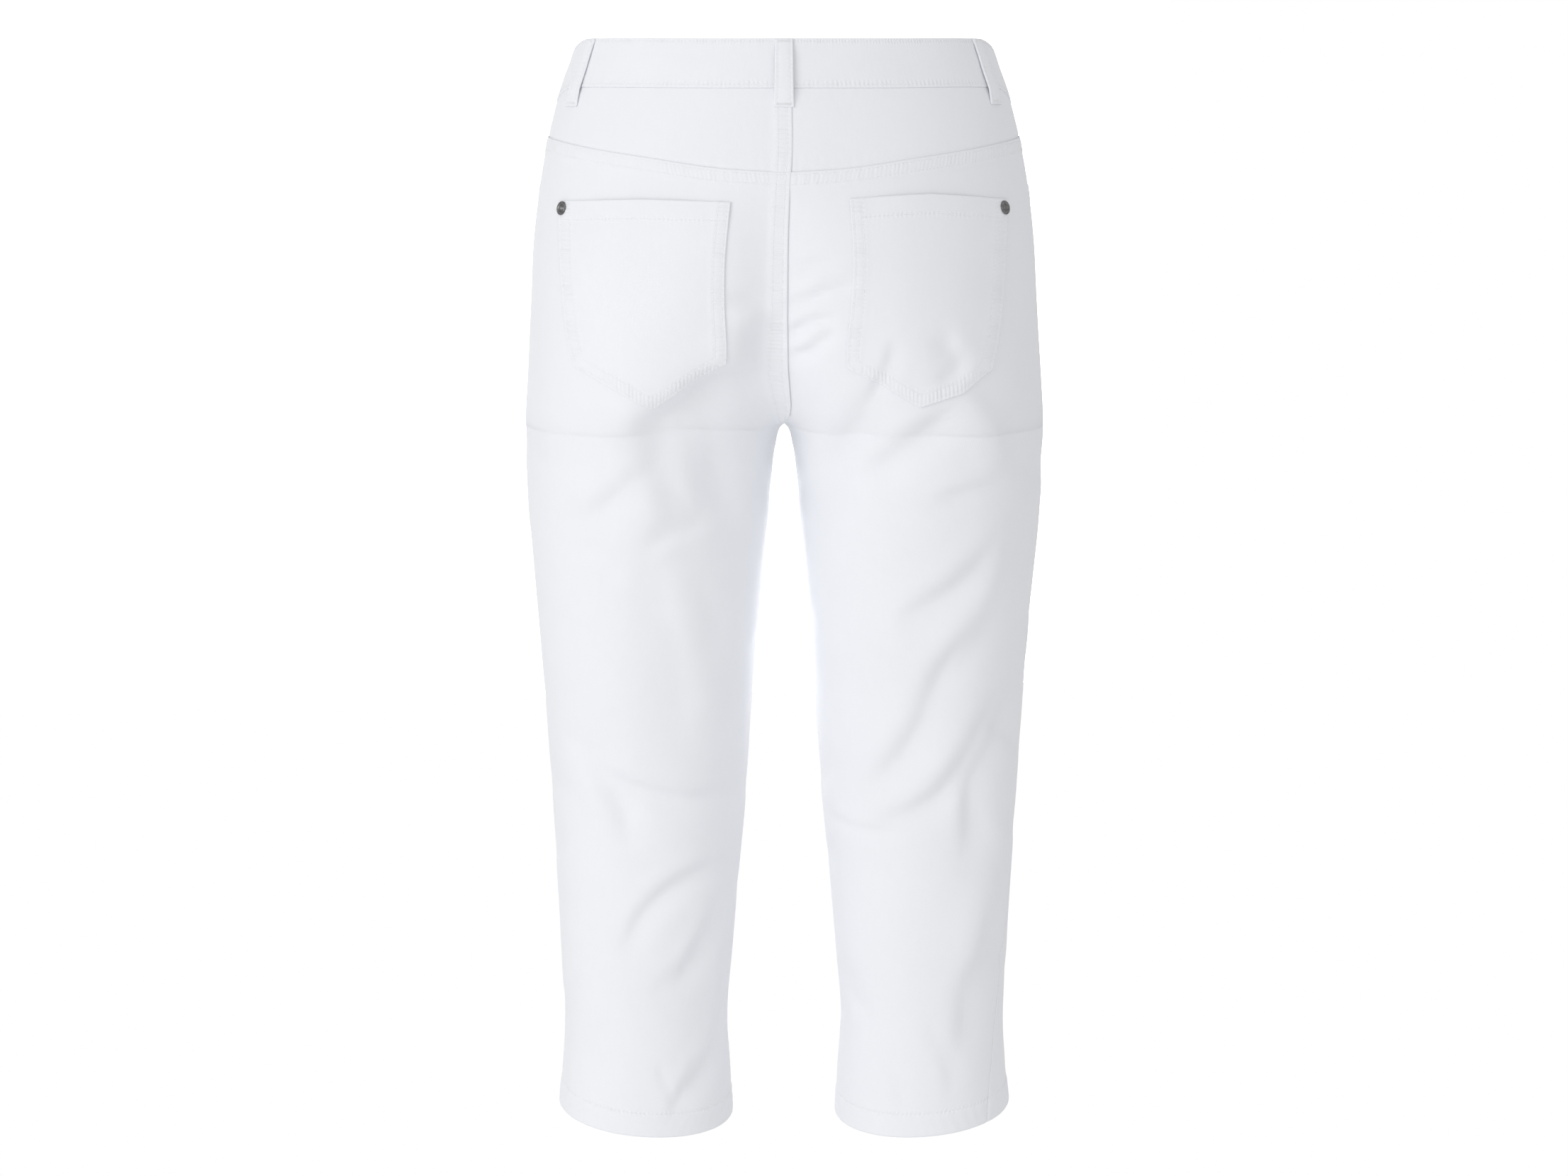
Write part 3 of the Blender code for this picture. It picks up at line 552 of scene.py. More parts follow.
# How far the gathers beside stitches reach, and their pitch. Gathers stop where two seams meet,
# that is where the next seam is less far away than the nearest one by SEAMS_MEET or less.
PUCKER_REACH = 2.6
PUCKER_PITCH = 0.0031
SEAMS_MEET = (2.5, 0.8)
SEWN_REACH = 30.0


def nearest_sewing(*seams):
    """Of some seams, each a run, a distance and its rows, the nearest to each point. Where two
    seams meet, the point counts as further away, so that nothing gathers there."""
    runs = np.stack([np.broadcast_to(run, seams[0][0].shape) for run, _, _ in seams])
    away = np.stack(
        [
            np.maximum(np.abs(distance - (rows[0] + rows[-1]) / 2) - (rows[-1] - rows[0]) / 2, 0.0)
            for _, distance, rows in seams
        ]
    )
    nearest = np.argmin(away, axis=0)
    point = np.arange(len(nearest))
    least = away[nearest, point]
    if len(seams) > 1:
        least = least + PUCKER_REACH * smooth_step(*SEAMS_MEET, np.sort(away, axis=0)[1] - least)
    return paired(runs[nearest, point], np.minimum(least, SEWN_REACH))


def edge_round(distance, radius):
    """How far a cloth's face turns in at its edge."""
    share = np.clip(distance / radius, 0.0, 1.0)
    return radius * (1 - np.sqrt(np.maximum(1 - (1 - share) ** 2, 0.0)))


def seam_dip(distance, depth, reach=SEAM_REACH):
    """How far the cloth dips beside a seam."""
    return -depth * np.exp(-(distance / reach))


def stitched(distance, rows, depth=0.17, width=0.85):
    """The grooves in which rows of stitches lie."""
    return -depth * sum(np.exp(-(((distance - row) / width) ** 2)) for row in rows)


def puckers(distance, run, reach, height=0.17, pitch=6.8):
    """Small gathers across a sewn edge, uneven along it."""
    wave = np.sin(2 * math.pi * run / pitch + 1.6 * np.sin(run / 13.0) + 0.8 * np.sin(run / 5.1))
    uneven = 0.65 + 0.35 * np.sin(run / 31.0 + 1.1)
    within = smooth_step(-1.0, 1.5, distance) * smooth_step(reach, reach * 0.6, distance)
    return height * wave * uneven * within


def lapped(distance, run, height, reach, rows):
    """An edge folded under and sewn down over its neighbour: raised as far as its layers go."""
    raised = height * smooth_step(reach + 3.5, reach, distance)
    return raised + stitched(distance, rows) + puckers(distance, run, reach + 3.0)


# --------------------------------------------------------------------------------- materials


# Each finish between two shades, the darker first.
TWILL_WHITE = ((0.872, 0.885, 0.918), (0.912, 0.924, 0.954))
FACING_WHITE = ((0.86, 0.872, 0.905), (0.90, 0.911, 0.94))
GUNMETAL = ((0.09, 0.09, 0.095), (0.52, 0.51, 0.5))
THREAD_WHITE = (0.95, 0.95, 0.965)
PLACE = "NodeSocketVector"
NUMBER = "NodeSocketFloat"
TWILL_RIBS_PER_MM = 1.35
# Each bump: its depth in metres and its strength.
WASHED_BUMP = (0.0006, 0.3)
GATHER_BUMP = (0.00015, 1.0)
WEAVE_BUMP = (0.00004, 0.5)
THREAD_BUMP = (0.0002, 0.4)
METAL_BUMP = (0.0001, 0.3)


def link_math(tree, operation, first, second=None, third=None):
    node = tree.nodes.new("ShaderNodeMath")
    node.operation = operation
    for socket, value in zip(node.inputs, (first, second, third)):
        if value is None:
            continue
        if isinstance(value, (int, float)):
            socket.default_value = value
        else:
            tree.links.new(value, socket)
    return node.outputs[0]


def new_group(name, inputs, outputs):
    """An empty effect with its sockets, what comes into it and what it puts out."""
    group = bpy.data.node_groups.new(name, "ShaderNodeTree")
    for socket, kind in inputs:
        group.interface.new_socket(socket, in_out="INPUT", socket_type=kind)
    for socket in outputs:
        group.interface.new_socket(socket, in_out="OUTPUT", socket_type=NUMBER)
    source, result = group.nodes.new("NodeGroupInput"), group.nodes.new("NodeGroupOutput")
    return group, source.outputs, result.inputs


def noise(tree, place, scale, detail=2.0, distortion=0.0):
    """Cloudy noise, from 0 to 1."""
    node = tree.nodes.new("ShaderNodeTexNoise")
    node.inputs["Scale"].default_value = scale
    node.inputs["Detail"].default_value = detail
    node.inputs["Distortion"].default_value = distortion
    tree.links.new(place, node.inputs["Vector"])
    return node.outputs["Fac"]


def twill_group():
    """Fine diagonal twill: a height for bump, and a mask of its thicker threads."""
    group, source, result = new_group(
        "twill_weave", (("Cloth", PLACE), ("Threads per mm", NUMBER)), ("Height", "Slub")
    )
    apart = group.nodes.new("ShaderNodeSeparateXYZ")
    group.links.new(source["Cloth"], apart.inputs[0])
    pitch = link_math(group, "MULTIPLY", source["Threads per mm"], 2 * math.pi * 1000)
    down = group.nodes.new("ShaderNodeMapping")
    down.inputs["Scale"].default_value = (2.2, 0.35, 1.0)
    group.links.new(source["Cloth"], down.inputs["Vector"])
    slub = noise(group, down.outputs["Vector"], 160.0, 3.0)
    wobble = link_math(group, "MULTIPLY", slub, 2.5)
    across = link_math(group, "MULTIPLY", apart.outputs["X"], pitch)
    along = link_math(group, "MULTIPLY", apart.outputs["Y"], pitch)
    steep = link_math(group, "MULTIPLY", along, 0.55)
    diagonal = link_math(group, "ADD", link_math(group, "ADD", across, steep), wobble)
    rib = link_math(group, "MULTIPLY", link_math(group, "SINE", diagonal), 0.6)
    thread = link_math(group, "SINE", link_math(group, "MULTIPLY", along, 2.0))
    height = link_math(group, "MULTIPLY_ADD", thread, 0.35, rib)
    height = link_math(group, "MULTIPLY_ADD", slub, 4.0, height)
    group.links.new(height, result["Height"])
    group.links.new(slub, result["Slub"])
    return group


def pucker_group():
    """The small gathers that stitches pull into the cloth: ridges across each row of sewing."""
    group, source, result = new_group(
        "stitch_puckers", (("Sewn", PLACE), ("Pitch", NUMBER)), ("Height",)
    )
    apart = group.nodes.new("ShaderNodeSeparateXYZ")
    group.links.new(source["Sewn"], apart.inputs[0])
    uneven = noise(group, source["Sewn"], 70.0)
    turns = link_math(group, "DIVIDE", apart.outputs["X"], source["Pitch"])
    shift = link_math(group, "MULTIPLY", uneven, 5.0)
    phase = link_math(group, "MULTIPLY_ADD", turns, 2 * math.pi, shift)
    near = link_math(group, "MULTIPLY_ADD", apart.outputs["Y"], -1000.0 / PUCKER_REACH, 1.0)
    near = link_math(group, "MAXIMUM", near, 0.0)
    ridge = link_math(group, "MULTIPLY", link_math(group, "SINE", phase), near)
    strength = link_math(group, "MULTIPLY", link_math(group, "POWER", uneven, 2.0), 3.0)
    group.links.new(link_math(group, "MULTIPLY", ridge, strength), result["Height"])
    return group


def crumple_group():
    """Small soft creases and lint on washed cotton."""
    group, source, result = new_group("washed_cotton", (("Place", PLACE),), ("Height", "Mottle"))
    small = noise(group, source["Place"], 95.0, 4.0, 0.6)
    broad = noise(group, source["Place"], 22.0)
    height = link_math(group, "MULTIPLY_ADD", small, 0.35, broad)
    group.links.new(height, result["Height"])
    group.links.new(broad, result["Mottle"])
    return group


def ramp(tree, factor, low, high):
    """A colour between two, by a factor."""
    node = tree.nodes.new("ShaderNodeMix")
    node.data_type = "RGBA"
    tree.links.new(factor, node.inputs["Factor"])
    node.inputs[6].default_value = (*low, 1.0)
    node.inputs[7].default_value = (*high, 1.0)
    return node.outputs[2]


def bump(tree, height, depth_and_strength, normal=None):
    node = tree.nodes.new("ShaderNodeBump")
    for socket, value in zip(("Distance", "Strength"), depth_and_strength):
        node.inputs[socket].default_value = value
    tree.links.new(height, node.inputs["Height"])
    if normal is not None:
        tree.links.new(normal, node.inputs["Normal"])
    return node.outputs["Normal"]


def new_material(name):
    made = bpy.data.materials.new(name)
    made.use_nodes = True
    return made, made.node_tree, made.node_tree.nodes["Principled BSDF"]


def cloth_material(name, low, high, groups):
    """Twill between two shades of white, with its weave, its soft wear and its sewn gathers."""
    twill, crumple, pucker = groups
    made, tree, shader = new_material(name)

    def over(effect, place, socket):
        node = tree.nodes.new("ShaderNodeGroup")
        node.node_tree = effect
        tree.links.new(place, node.inputs[socket])
        return node

    def laid(name):
        node = tree.nodes.new("ShaderNodeUVMap")
        node.uv_map = name
        return node.outputs["UV"]

    place = tree.nodes.new("ShaderNodeTexCoord")
    weave = over(twill, laid("cloth"), "Cloth")
    weave.inputs["Threads per mm"].default_value = TWILL_RIBS_PER_MM
    washed = over(crumple, place.outputs["Object"], "Place")
    gathers = over(pucker, laid("sewn"), "Sewn")
    gathers.inputs["Pitch"].default_value = PUCKER_PITCH
    mottle = link_math(tree, "MULTIPLY_ADD", weave.outputs["Slub"], 0.5, washed.outputs["Mottle"])
    mottle = link_math(tree, "MULTIPLY", mottle, 0.7)
    tree.links.new(ramp(tree, mottle, low, high), shader.inputs["Base Color"])
    normal = None
    layers = ((washed, WASHED_BUMP), (gathers, GATHER_BUMP), (weave, WEAVE_BUMP))
    for node, depth_and_strength in layers:
        normal = bump(tree, node.outputs["Height"], depth_and_strength, normal)
    tree.links.new(normal, shader.inputs["Normal"])
    rough = link_math(tree, "MULTIPLY_ADD", weave.outputs["Slub"], 0.12, 0.76)
    tree.links.new(rough, shader.inputs["Roughness"])
    shader.inputs["Sheen Weight"].default_value = 0.45
    shader.inputs["Sheen Roughness"].default_value = 0.35
    shader.inputs["Specular IOR Level"].default_value = 0.25
    return made


def thread_material(name, colour):
    made, tree, shader = new_material(name)
    place = tree.nodes.new("ShaderNodeTexCoord")
    twist = noise(tree, place.outputs["Object"], 900.0)
    dimmer = tuple(value * 0.94 for value in colour)
    tree.links.new(ramp(tree, twist, dimmer, colour), shader.inputs["Base Color"])
    tree.links.new(bump(tree, twist, THREAD_BUMP), shader.inputs["Normal"])
    shader.inputs["Roughness"].default_value = 0.6
    shader.inputs["Sheen Weight"].default_value = 0.2
    return made


def metal_material(name, colour, bright, roughness):
    """Dark plated metal, rubbed brighter on its worn spots."""
    made, tree, shader = new_material(name)
    place = tree.nodes.new("ShaderNodeTexCoord")
    rub = noise(tree, place.outputs["Object"], 420.0, 5.0)
    worn = link_math(tree, "POWER", rub, 2.0)
    tree.links.new(ramp(tree, worn, colour, bright), shader.inputs["Base Color"])
    rough = link_math(tree, "MULTIPLY_ADD", rub, 0.2, roughness)
    tree.links.new(rough, shader.inputs["Roughness"])
    tree.links.new(bump(tree, rub, METAL_BUMP), shader.inputs["Normal"])
    shader.inputs["Metallic"].default_value = 1.0
    return made


# ------------------------------------------------------------------------------ cloth pieces


def set_mesh_points(mesh, points, maps):
    """Moves a mesh's points, in millimetres, turns its faces outwards and lays its maps on it."""
    mesh.vertices.foreach_set("co", (points * MM).astype(np.float32).ravel())
    mesh.update()
    corners = np.empty(len(mesh.loops), np.int32)
    mesh.loops.foreach_get("vertex_index", corners)
    mesh.calc_loop_triangles()
    triangles = np.empty(len(mesh.loop_triangles) * 3, np.int32)
    mesh.loop_triangles.foreach_get("vertices", triangles)
    a, b, c = (points[triangles.reshape(-1, 3)[:, corner]] for corner in range(3))
    if np.einsum("ij,ij->", a, np.cross(b, c)) < 0:
        mesh.flip_normals()
        mesh.loops.foreach_get("vertex_index", corners)
    for name, places in maps.items():
        layer = mesh.uv_layers.new(name=name)
        layer.data.foreach_set("uv", (places[corners] * MM).astype(np.float32).ravel())


def show(name, mesh, material, replaced=()):
    piece = bpy.data.objects.new(name, mesh)
    bpy.context.scene.collection.objects.link(piece)
    mesh.materials.append(material)
    mesh.shade_smooth()
    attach(piece, "root")
    if replaced:
        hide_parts(*replaced)
    return piece


def wall(name, columns, rows, shape, material, replaced):
    """A closed wall of cloth: a slab of cells, shaped onto the garment.

    shape takes each point's column and row number and whether it is on the inner face, and gives
    its place on the garment, its place on the flat cloth, and its run along the nearest sewing
    with its distance from it.
    """
    slab = bmesh.new()
    bmesh.ops.create_grid(slab, x_segments=columns, y_segments=rows, size=0.5)
    doubled = bmesh.ops.extrude_face_region(slab, geom=slab.faces[:], use_keep_orig=True)
    inner = [item for item in doubled["geom"] if isinstance(item, bmesh.types.BMVert)]
    bmesh.ops.translate(slab, vec=(0.0, 0.0, 1.0), verts=inner)
    bmesh.ops.recalc_face_normals(slab, faces=slab.faces)
    mesh = bpy.data.meshes.new(name)
    slab.to_mesh(mesh)
    slab.free()
    cells = np.empty(len(mesh.vertices) * 3, np.float32)
    mesh.vertices.foreach_get("co", cells)
    cells = cells.reshape(-1, 3).astype(float)
    column_number = np.round((cells[:, 0] + 0.5) * columns).astype(int)
    row_number = np.round((cells[:, 1] + 0.5) * rows).astype(int)
    points, cloth_places, sewn = shape(column_number, row_number, cells[:, 2] > 0.5)
    set_mesh_points(mesh, points, {"cloth": cloth_places, "sewn": sewn})
    piece = show(name, mesh, material, replaced)
    return piece


def band_bottom(around):
    """The height of the waistband's lower edge."""
    return edge(WAIST_EDGE, around) - BAND_HEIGHT


def pocket_mouth(around, share=POCKET_MOUTH_SHARE, drop=POCKET_MOUTH_DROP):
    """A quarter oval from the side seam up to the band: the front pocket's scoop."""
    reach = np.clip((around - 1) / share, 0.0, 1.0)
    return band_bottom(around) - drop * np.sqrt(1 - reach**2)


def yoke_bottom(around):
    """The height of the seam between the yoke and the seat."""
    return edge(YOKE_SEAM, around)


def front_top(around):
    """The top edge of a front panel: the scoop of its pocket, then the band."""
    return np.where(around < 1 + POCKET_MOUTH_SHARE, pocket_mouth(around), band_bottom(around))


def crotch_row(share):
    """The height of the row of points that runs out from the crotch to the side seam."""
    return CROTCH_Z + (CROTCH_SIDE_Z - CROTCH_Z) * smooth_step(0.0, 0.6, share)


# How far the folded edge of the left back lies past the centre plane, over the right back.
LAP_COLUMNS = ("z", "lap")
BACK_LAP = (
    (-270.0, 0.0), (-262.0, 3.5), (-252.0, 4.8), (-239.0, 3.2), (-197.0, 2.1), (-157.0, 2.4),
    (-123.0, 2.9), (-89.0, 4.4), (-75.0, 5.4), (-20.0, 5.2),
)
# How far the left front lies past the centre plane, over the right front.
FRONT_LAP = (
    (-270.0, 0.0), (-258.0, 2.5), (-240.0, 3.0), (-186.0, 3.0), (-168.0, 8.0), (-20.0, 8.0),
)
LAP_STARTS = 6.0
# Where the rows of stitches run, from each edge.
BACK_SEAM_ROWS = (3.5, 9.8)
FRONT_SEAM_ROWS = (3.0, 9.0)
YOKE_SEAM_ROWS = (2.0, 8.5)
MOUTH_ROWS = (2.0, 8.5)
HEM_ROWS = (17.0,)
# The gathers along the yoke's seam: their middle below it, how far they reach on either side at
# full strength, how far off they are taken to be there, and their slant.
YOKE_MIDDLE = 5.2
YOKE_REACH = 3.2
YOKE_EASE = 1.3
YOKE_SLANT = 0.2
# How far laps raise and thin the cloth, and how wide they are.
LAP_HEIGHT = 0.75
YOKE_LAP_HEIGHT = 0.5
MOUTH_LAP_HEIGHT = 0.45
SEAM_LAP = 10.5
EDGE_LAP = 9.5
LAP_CLOTH = 0.8
LAP_THINS = (16.0, 12.0)
UNDER_LAP = 0.5
UNDER_LAP_ENDS = (7.5, 2.0)


def lap_of(side, view, z):
    """How far a panel's edge lies past the centre plane."""
    if side == RIGHT:
        return np.zeros_like(z)
    table = BACK_LAP if view == BACK else FRONT_LAP
    above_crotch = smooth_step(CROTCH_Z, CROTCH_Z + LAP_STARTS, z)
    return np.maximum(column(table, LAP_COLUMNS, "lap", z, "z"), 0.0) * above_crotch


def mouth_line():
    """The edge of the front pocket's scoop as (millimetres from the side seam, z)."""
    reach = np.sin(np.linspace(0.0, math.pi / 2, 160))
    around = 1 + POCKET_MOUTH_SHARE * reach
    z = pocket_mouth(around)
    return paired((around - 1) * ring_length(LEFT, FRONT, z), z)


def distance_to(line, places):
    """The distance of each place from a line of points."""
    nearest = np.full(len(places), np.inf)
    for start, end in zip(line, line[1:]):
        run = end - start
        share = np.clip(((places - start) @ run) / (run @ run), 0.0, 1.0)
        nearest = np.minimum(nearest, np.linalg.norm(places - start - share[:, None] * run, axis=1))
    return nearest


def centre_seam(side, view, from_seam, z):
    """How the lapped seam down the centre shapes the cloth that lies over it, or under it."""
    if side == RIGHT:
        under = UNDER_LAP * smooth_step(*UNDER_LAP_ENDS, from_seam)
        return puckers(from_seam, z, 10.0, 0.12) - under
    rows = BACK_SEAM_ROWS if view == BACK else FRONT_SEAM_ROWS
    return lapped(from_seam + lap_of(side, view, z), z, LAP_HEIGHT, SEAM_LAP, rows)


# The gape of the front pocket's scoop, and how low it is looked for.
GAPE_SPREAD = 16.0
MOUTH_LOWEST = -160.0
# The left front over the fly: how far out it lies, from which heights and how far from its edge.
FLY_HEIGHT = 0.9
FLY_LIFT = (-212.0, -196.0)
FLY_FADE = (11.5, 21.0)
# The turned-up hem: how far it stands out, and the groove of its stitches.
HEM_LIFT = 0.35
HEM_GROOVE = (0.42, 1.3)


def panel_lift(side, view, share, z, length):
    """How the sewing of a front or back panel moves its outer face out of the creased skin."""
    from_seam = share * length
    above_hem = z - hem_edge(side, share if view == BACK else 2 - share)
    from_side = length - from_seam
    torso = smooth_step(CROTCH_Z - 2, CROTCH_Z + 10, z)
    seam = puckers(from_seam, z, 9.0, 0.10) + seam_dip(from_seam, 0.5)
    lift = seam + (centre_seam(side, view, from_seam, z) - seam) * torso
    if view == BACK:
        below_top = yoke_bottom(share) - z
        top = lapped(below_top, from_seam, YOKE_LAP_HEIGHT, EDGE_LAP, YOKE_SEAM_ROWS)
        top = np.maximum(lift, top * smooth_step(*LAP_THINS, below_top))
        lift = np.where(below_top < LAP_THINS[0], top, lift)
    else:
        near = (from_side < POCKET_MOUTH_SHARE * length + 30.0) & (z > MOUTH_LOWEST)
        below = np.full(len(z), FAR)
        below[near] = distance_to(mouth_line(), paired(from_side, z)[near])
        gape = MOUTH_GAPE * np.exp(-((below / GAPE_SPREAD) ** 2)) * smooth_step(0.5, 0.6, share)
        gape = gape * smooth_step(-4.0, 22.0, from_side)
        mouth = lapped(below, from_side, MOUTH_LAP_HEIGHT, EDGE_LAP, MOUTH_ROWS)
        under_band = -0.35 * smooth_step(2.2, 0.0, band_bottom(2 - share) - z)
        lift = lift + gape + mouth * (share > 0.49) + under_band * (share <= 0.5)
        if side == LEFT:
            over_fly = 1 - smooth_step(*FLY_FADE, from_seam + lap_of(side, view, z))
            lift = lift + FLY_HEIGHT * over_fly * smooth_step(*FLY_LIFT, z)
    seam_depth = 0.06 + 0.5 * smooth_step(26.0, 14.0, above_hem)
    lift = lift + seam_dip(from_side, seam_depth, SIDE_SEAM_REACH)
    lift = lift + puckers(from_side, z, 8.0, 0.05, 9.0)
    hem_layers = HEM_LIFT * smooth_step(19.5, 15.5, above_hem)
    roping = puckers(18.0 - above_hem, from_seam + 0.7 * above_hem, 21.0, 0.15, 8.3)
    return lift + hem_layers + stitched(above_hem, HEM_ROWS, *HEM_GROOVE) + roping


def thinned(from_edge):
    """How much thinner one layer of a lap is than plain cloth."""
    return (CLOTH - LAP_CLOTH) * smooth_step(*LAP_THINS, from_edge)


def panel_thickness(side, view, share, z, length):
    above_hem = z - hem_edge(side, share if view == BACK else 2 - share)
    torso = smooth_step(CROTCH_Z - 2, CROTCH_Z + 6, z)
    thin = thinned(share * length + lap_of(side, view, z)) * torso
    if view == BACK:
        thin = np.maximum(thin, thinned(yoke_bottom(share) - z))
    return CLOTH - thin + (HEM_CLOTH - CLOTH) * smooth_step(17.4, 16.2, above_hem)


def face_offset(inner, lift, thick, fold, least=-math.inf):
    """How far a wall's outer or inner face lies from the skin. Both are drawn in at its edges."""
    outer = lift - fold
    under = np.maximum(lift - thick + fold, least)
    return np.where(inner, np.minimum(under, outer - LEAST_CLOTH), outer)


def panel_outline(side, view):
    """The cells of a panel: how many columns it has, and where each stands."""
    starts = len(NEAR_SEWN)
    middle = BACK_MIDDLE_COLUMNS if view == BACK else FRONT_MIDDLE_COLUMNS
    columns = starts + middle + len(NEAR_PLAIN if view == BACK else MOUTH_SPREAD) - 1

    def share_at(number, z):
        """The share of the way from the centre seam, less than 0 on a lap."""
        length = ring_length(side, view, z)
        even = even_length(side, view, z)
        lap = lap_of(side, view, z)
        near = np.array(NEAR_SEWN)[np.minimum(number, starts - 1)]
        left_over = 1 - np.clip((number - starts + 1) / (middle + 1), 0.0, 1.0)
        last = NEAR_PLAIN[-1] if view == BACK else even * POCKET_MOUTH_SHARE
        from_side = last + (even + lap - NEAR_SEWN[-1] - last) * left_over
        offset = length + lap - from_side - (length - even) * left_over**CROTCH_EASE
        if view == BACK:
            from_end = np.array(NEAR_PLAIN)[np.clip(columns - number, 0, len(NEAR_PLAIN) - 1)]
        else:
            beyond = np.clip(number - starts - middle, 0, len(MOUTH_SPREAD) - 1)
            spread = np.array(MOUTH_SPREAD)[beyond]
            even_spread = 1 - beyond / (len(MOUTH_SPREAD) - 1)
            from_end = last * (spread + (even_spread - spread) * smooth_step(*SPREAD_EVENS, z))
        offset = np.where(number < starts + middle, offset, length + lap - from_end)
        return (np.where(number < starts, near, offset) - lap) / length

    return columns, share_at


def panel(name, side, view, material):
    """A front or back panel, from its top edge over the crotch line to the turned-up hem."""
    columns, share_at = panel_outline(side, view)
    top_edge = yoke_bottom if view == BACK else front_top
    tops = np.array(NEAR_SEWN)
    top_rows = len(tops) - 1
    crotch_at = top_rows + TORSO_ROWS
    near_crotch = len(NEAR_CROTCH)
    leg_start = crotch_at + near_crotch
    hem_at = leg_start + LEG_ROWS
    rows = hem_at + len(NEAR_HEM) - 1
    centre = 0.0 if view == BACK else 2.0
    heights = np.linspace(float(top_edge(np.array(centre))) - tops[-1], CROTCH_Z, 400)
    rise, _ = skin(side, centre, heights)
    run = np.concatenate([[0.0], np.cumsum(np.linalg.norm(np.diff(rise, axis=0), axis=1))])
    fall = (heights - heights[0]) / (CROTCH_Z - heights[0])

    def row_height(share, row):
        """The height of each row of points, at each share of the way from the centre seam."""
        inside = np.clip(share, 0.0, 1.0)
        around = inside if view == BACK else 2 - inside
        crotch = crotch_row(inside)
        hem = hem_edge(side, around)
        top = top_edge(around)
        start = top - tops[-1]
        torso = np.clip((row - top_rows) / TORSO_ROWS, 0.0, 1.0)
        even_fall = np.interp(torso * run[-1], run, fall)
        tilt = smooth_step(0.0, 0.55, inside)
        z = start + (crotch - start) * (even_fall + (torso - even_fall) * tilt)
        z = np.where(row <= top_rows, top - tops[np.minimum(row, top_rows)], z)
        beside = np.array(NEAR_CROTCH)[np.clip(row - crotch_at - 1, 0, near_crotch - 1)]
        z = np.where(row > crotch_at, crotch - beside, z)
        leg_top = crotch - NEAR_CROTCH[-1]
        leg = np.clip((row - leg_start) / LEG_ROWS, 0.0, 1.0)
        z = np.where(row > leg_start, leg_top + (hem + NEAR_HEM[0] - leg_top) * leg, z)
        last = np.array(NEAR_HEM)[np.clip(row - hem_at, 0, len(NEAR_HEM) - 1)]
        return np.where(row > hem_at, hem + last, z)

    def shape(column_number, row_number, inner):
        guess = share_at(column_number, np.full(len(row_number), MOUTH_LOWEST))
        z = row_height(np.clip(guess, 0.0, 1.0), row_number)
        for _ in range(3):
            share = share_at(column_number, z)
            z = row_height(share, row_number)
        return panel_points(side, view, share_at(column_number, z), z, inner)

    return wall(name, columns, rows, shape, material, (name,))


def panel_points(side, view, share, z, inner):
    """Points of a panel's outer or inner face, with their places on the cloth and by its sewing."""
    length = ring_length(side, view, z)
    around = share if view == BACK else 2 - share
    points, normals = skin(side, around, z)
    lift = panel_lift(side, view, share, z, length)
    thick = panel_thickness(side, view, share, z, length)
    above_hem = z - hem_edge(side, np.clip(around, 0.0, 2.0))
    torso = smooth_step(CROTCH_Z, CROTCH_Z + 8, z)
    fold = edge_round(share * length + lap_of(side, view, z), FOLD_ROUND) * torso
    if view == BACK:
        below_top = yoke_bottom(np.clip(share, 0, 1)) - z
        fold = np.maximum(fold, edge_round(below_top, FOLD_ROUND))
    fold = edge_round(above_hem, HEM_ROUND) + fold
    points = on_cloth(points, normals, face_offset(inner, lift, thick, fold))
    sewn = panel_sewing(side, view, share, z, length)
    return points, paired(share * length * side, z), sewn


def panel_sewing(side, view, share, z, length):
    """The nearest sewing of each point of a panel."""
    from_seam = share * length
    inside = np.clip(share, 0.0, 1.0)
    above_hem = z - hem_edge(side, inside if view == BACK else 2 - inside)
    seams = [(from_seam, above_hem, HEM_ROWS)]
    if side == LEFT:
        rows = BACK_SEAM_ROWS if view == BACK else FRONT_SEAM_ROWS
        from_edge = np.where(z > CROTCH_Z, from_seam + lap_of(side, view, z), FAR)
        seams.append((z, from_edge, rows))
    if view == BACK:
        below_top = yoke_bottom(inside) - z
        beyond = np.maximum(np.abs(below_top - YOKE_MIDDLE) - YOKE_REACH, 0.0)
        seams.append((from_seam + YOKE_SLANT * below_top, beyond + YOKE_EASE, (0.0,)))
    return nearest_sewing(*seams)


def sewn_face(side, view, lift_of):
    """The outer face of a panel or yoke, for sewing: points and normals by share and z."""

    def face(share, z):
        length = ring_length(side, view, z)
        points, normals = skin(side, share if view == BACK else 2 - share, z)
        return on_cloth(points, normals, lift_of(side, view, share, z, length)), normals

    return face


# ------------------------------------------------------------------------------------ yokes


YOKE_UNDER = 6.0
YOKE_ROWS = 40
YOKE_DIP = 0.6
BAND_DIP = 0.3


def yoke_lift(side, view, share, z, length):
    """How the sewing of a yoke moves its outer face out of the creased skin."""
    from_seam = share * length
    from_side = length - from_seam
    above_seam = z - yoke_bottom(share)
    below_band = band_bottom(share) - z
    lift = centre_seam(side, view, from_seam, z)
    lift = lift - YOKE_DIP * smooth_step(2.4, -0.3, above_seam)
    lift = lift + puckers(above_seam, from_seam, 12.0, 0.12)
    lift = lift + seam_dip(below_band, BAND_DIP)
    lift = lift + puckers(below_band, from_seam, 9.0, 0.10, 7.4)
    lift = lift + seam_dip(from_side, 0.45, SIDE_SEAM_REACH)
    return lift + puckers(from_side, z, 8.0, 0.09, 9.0)


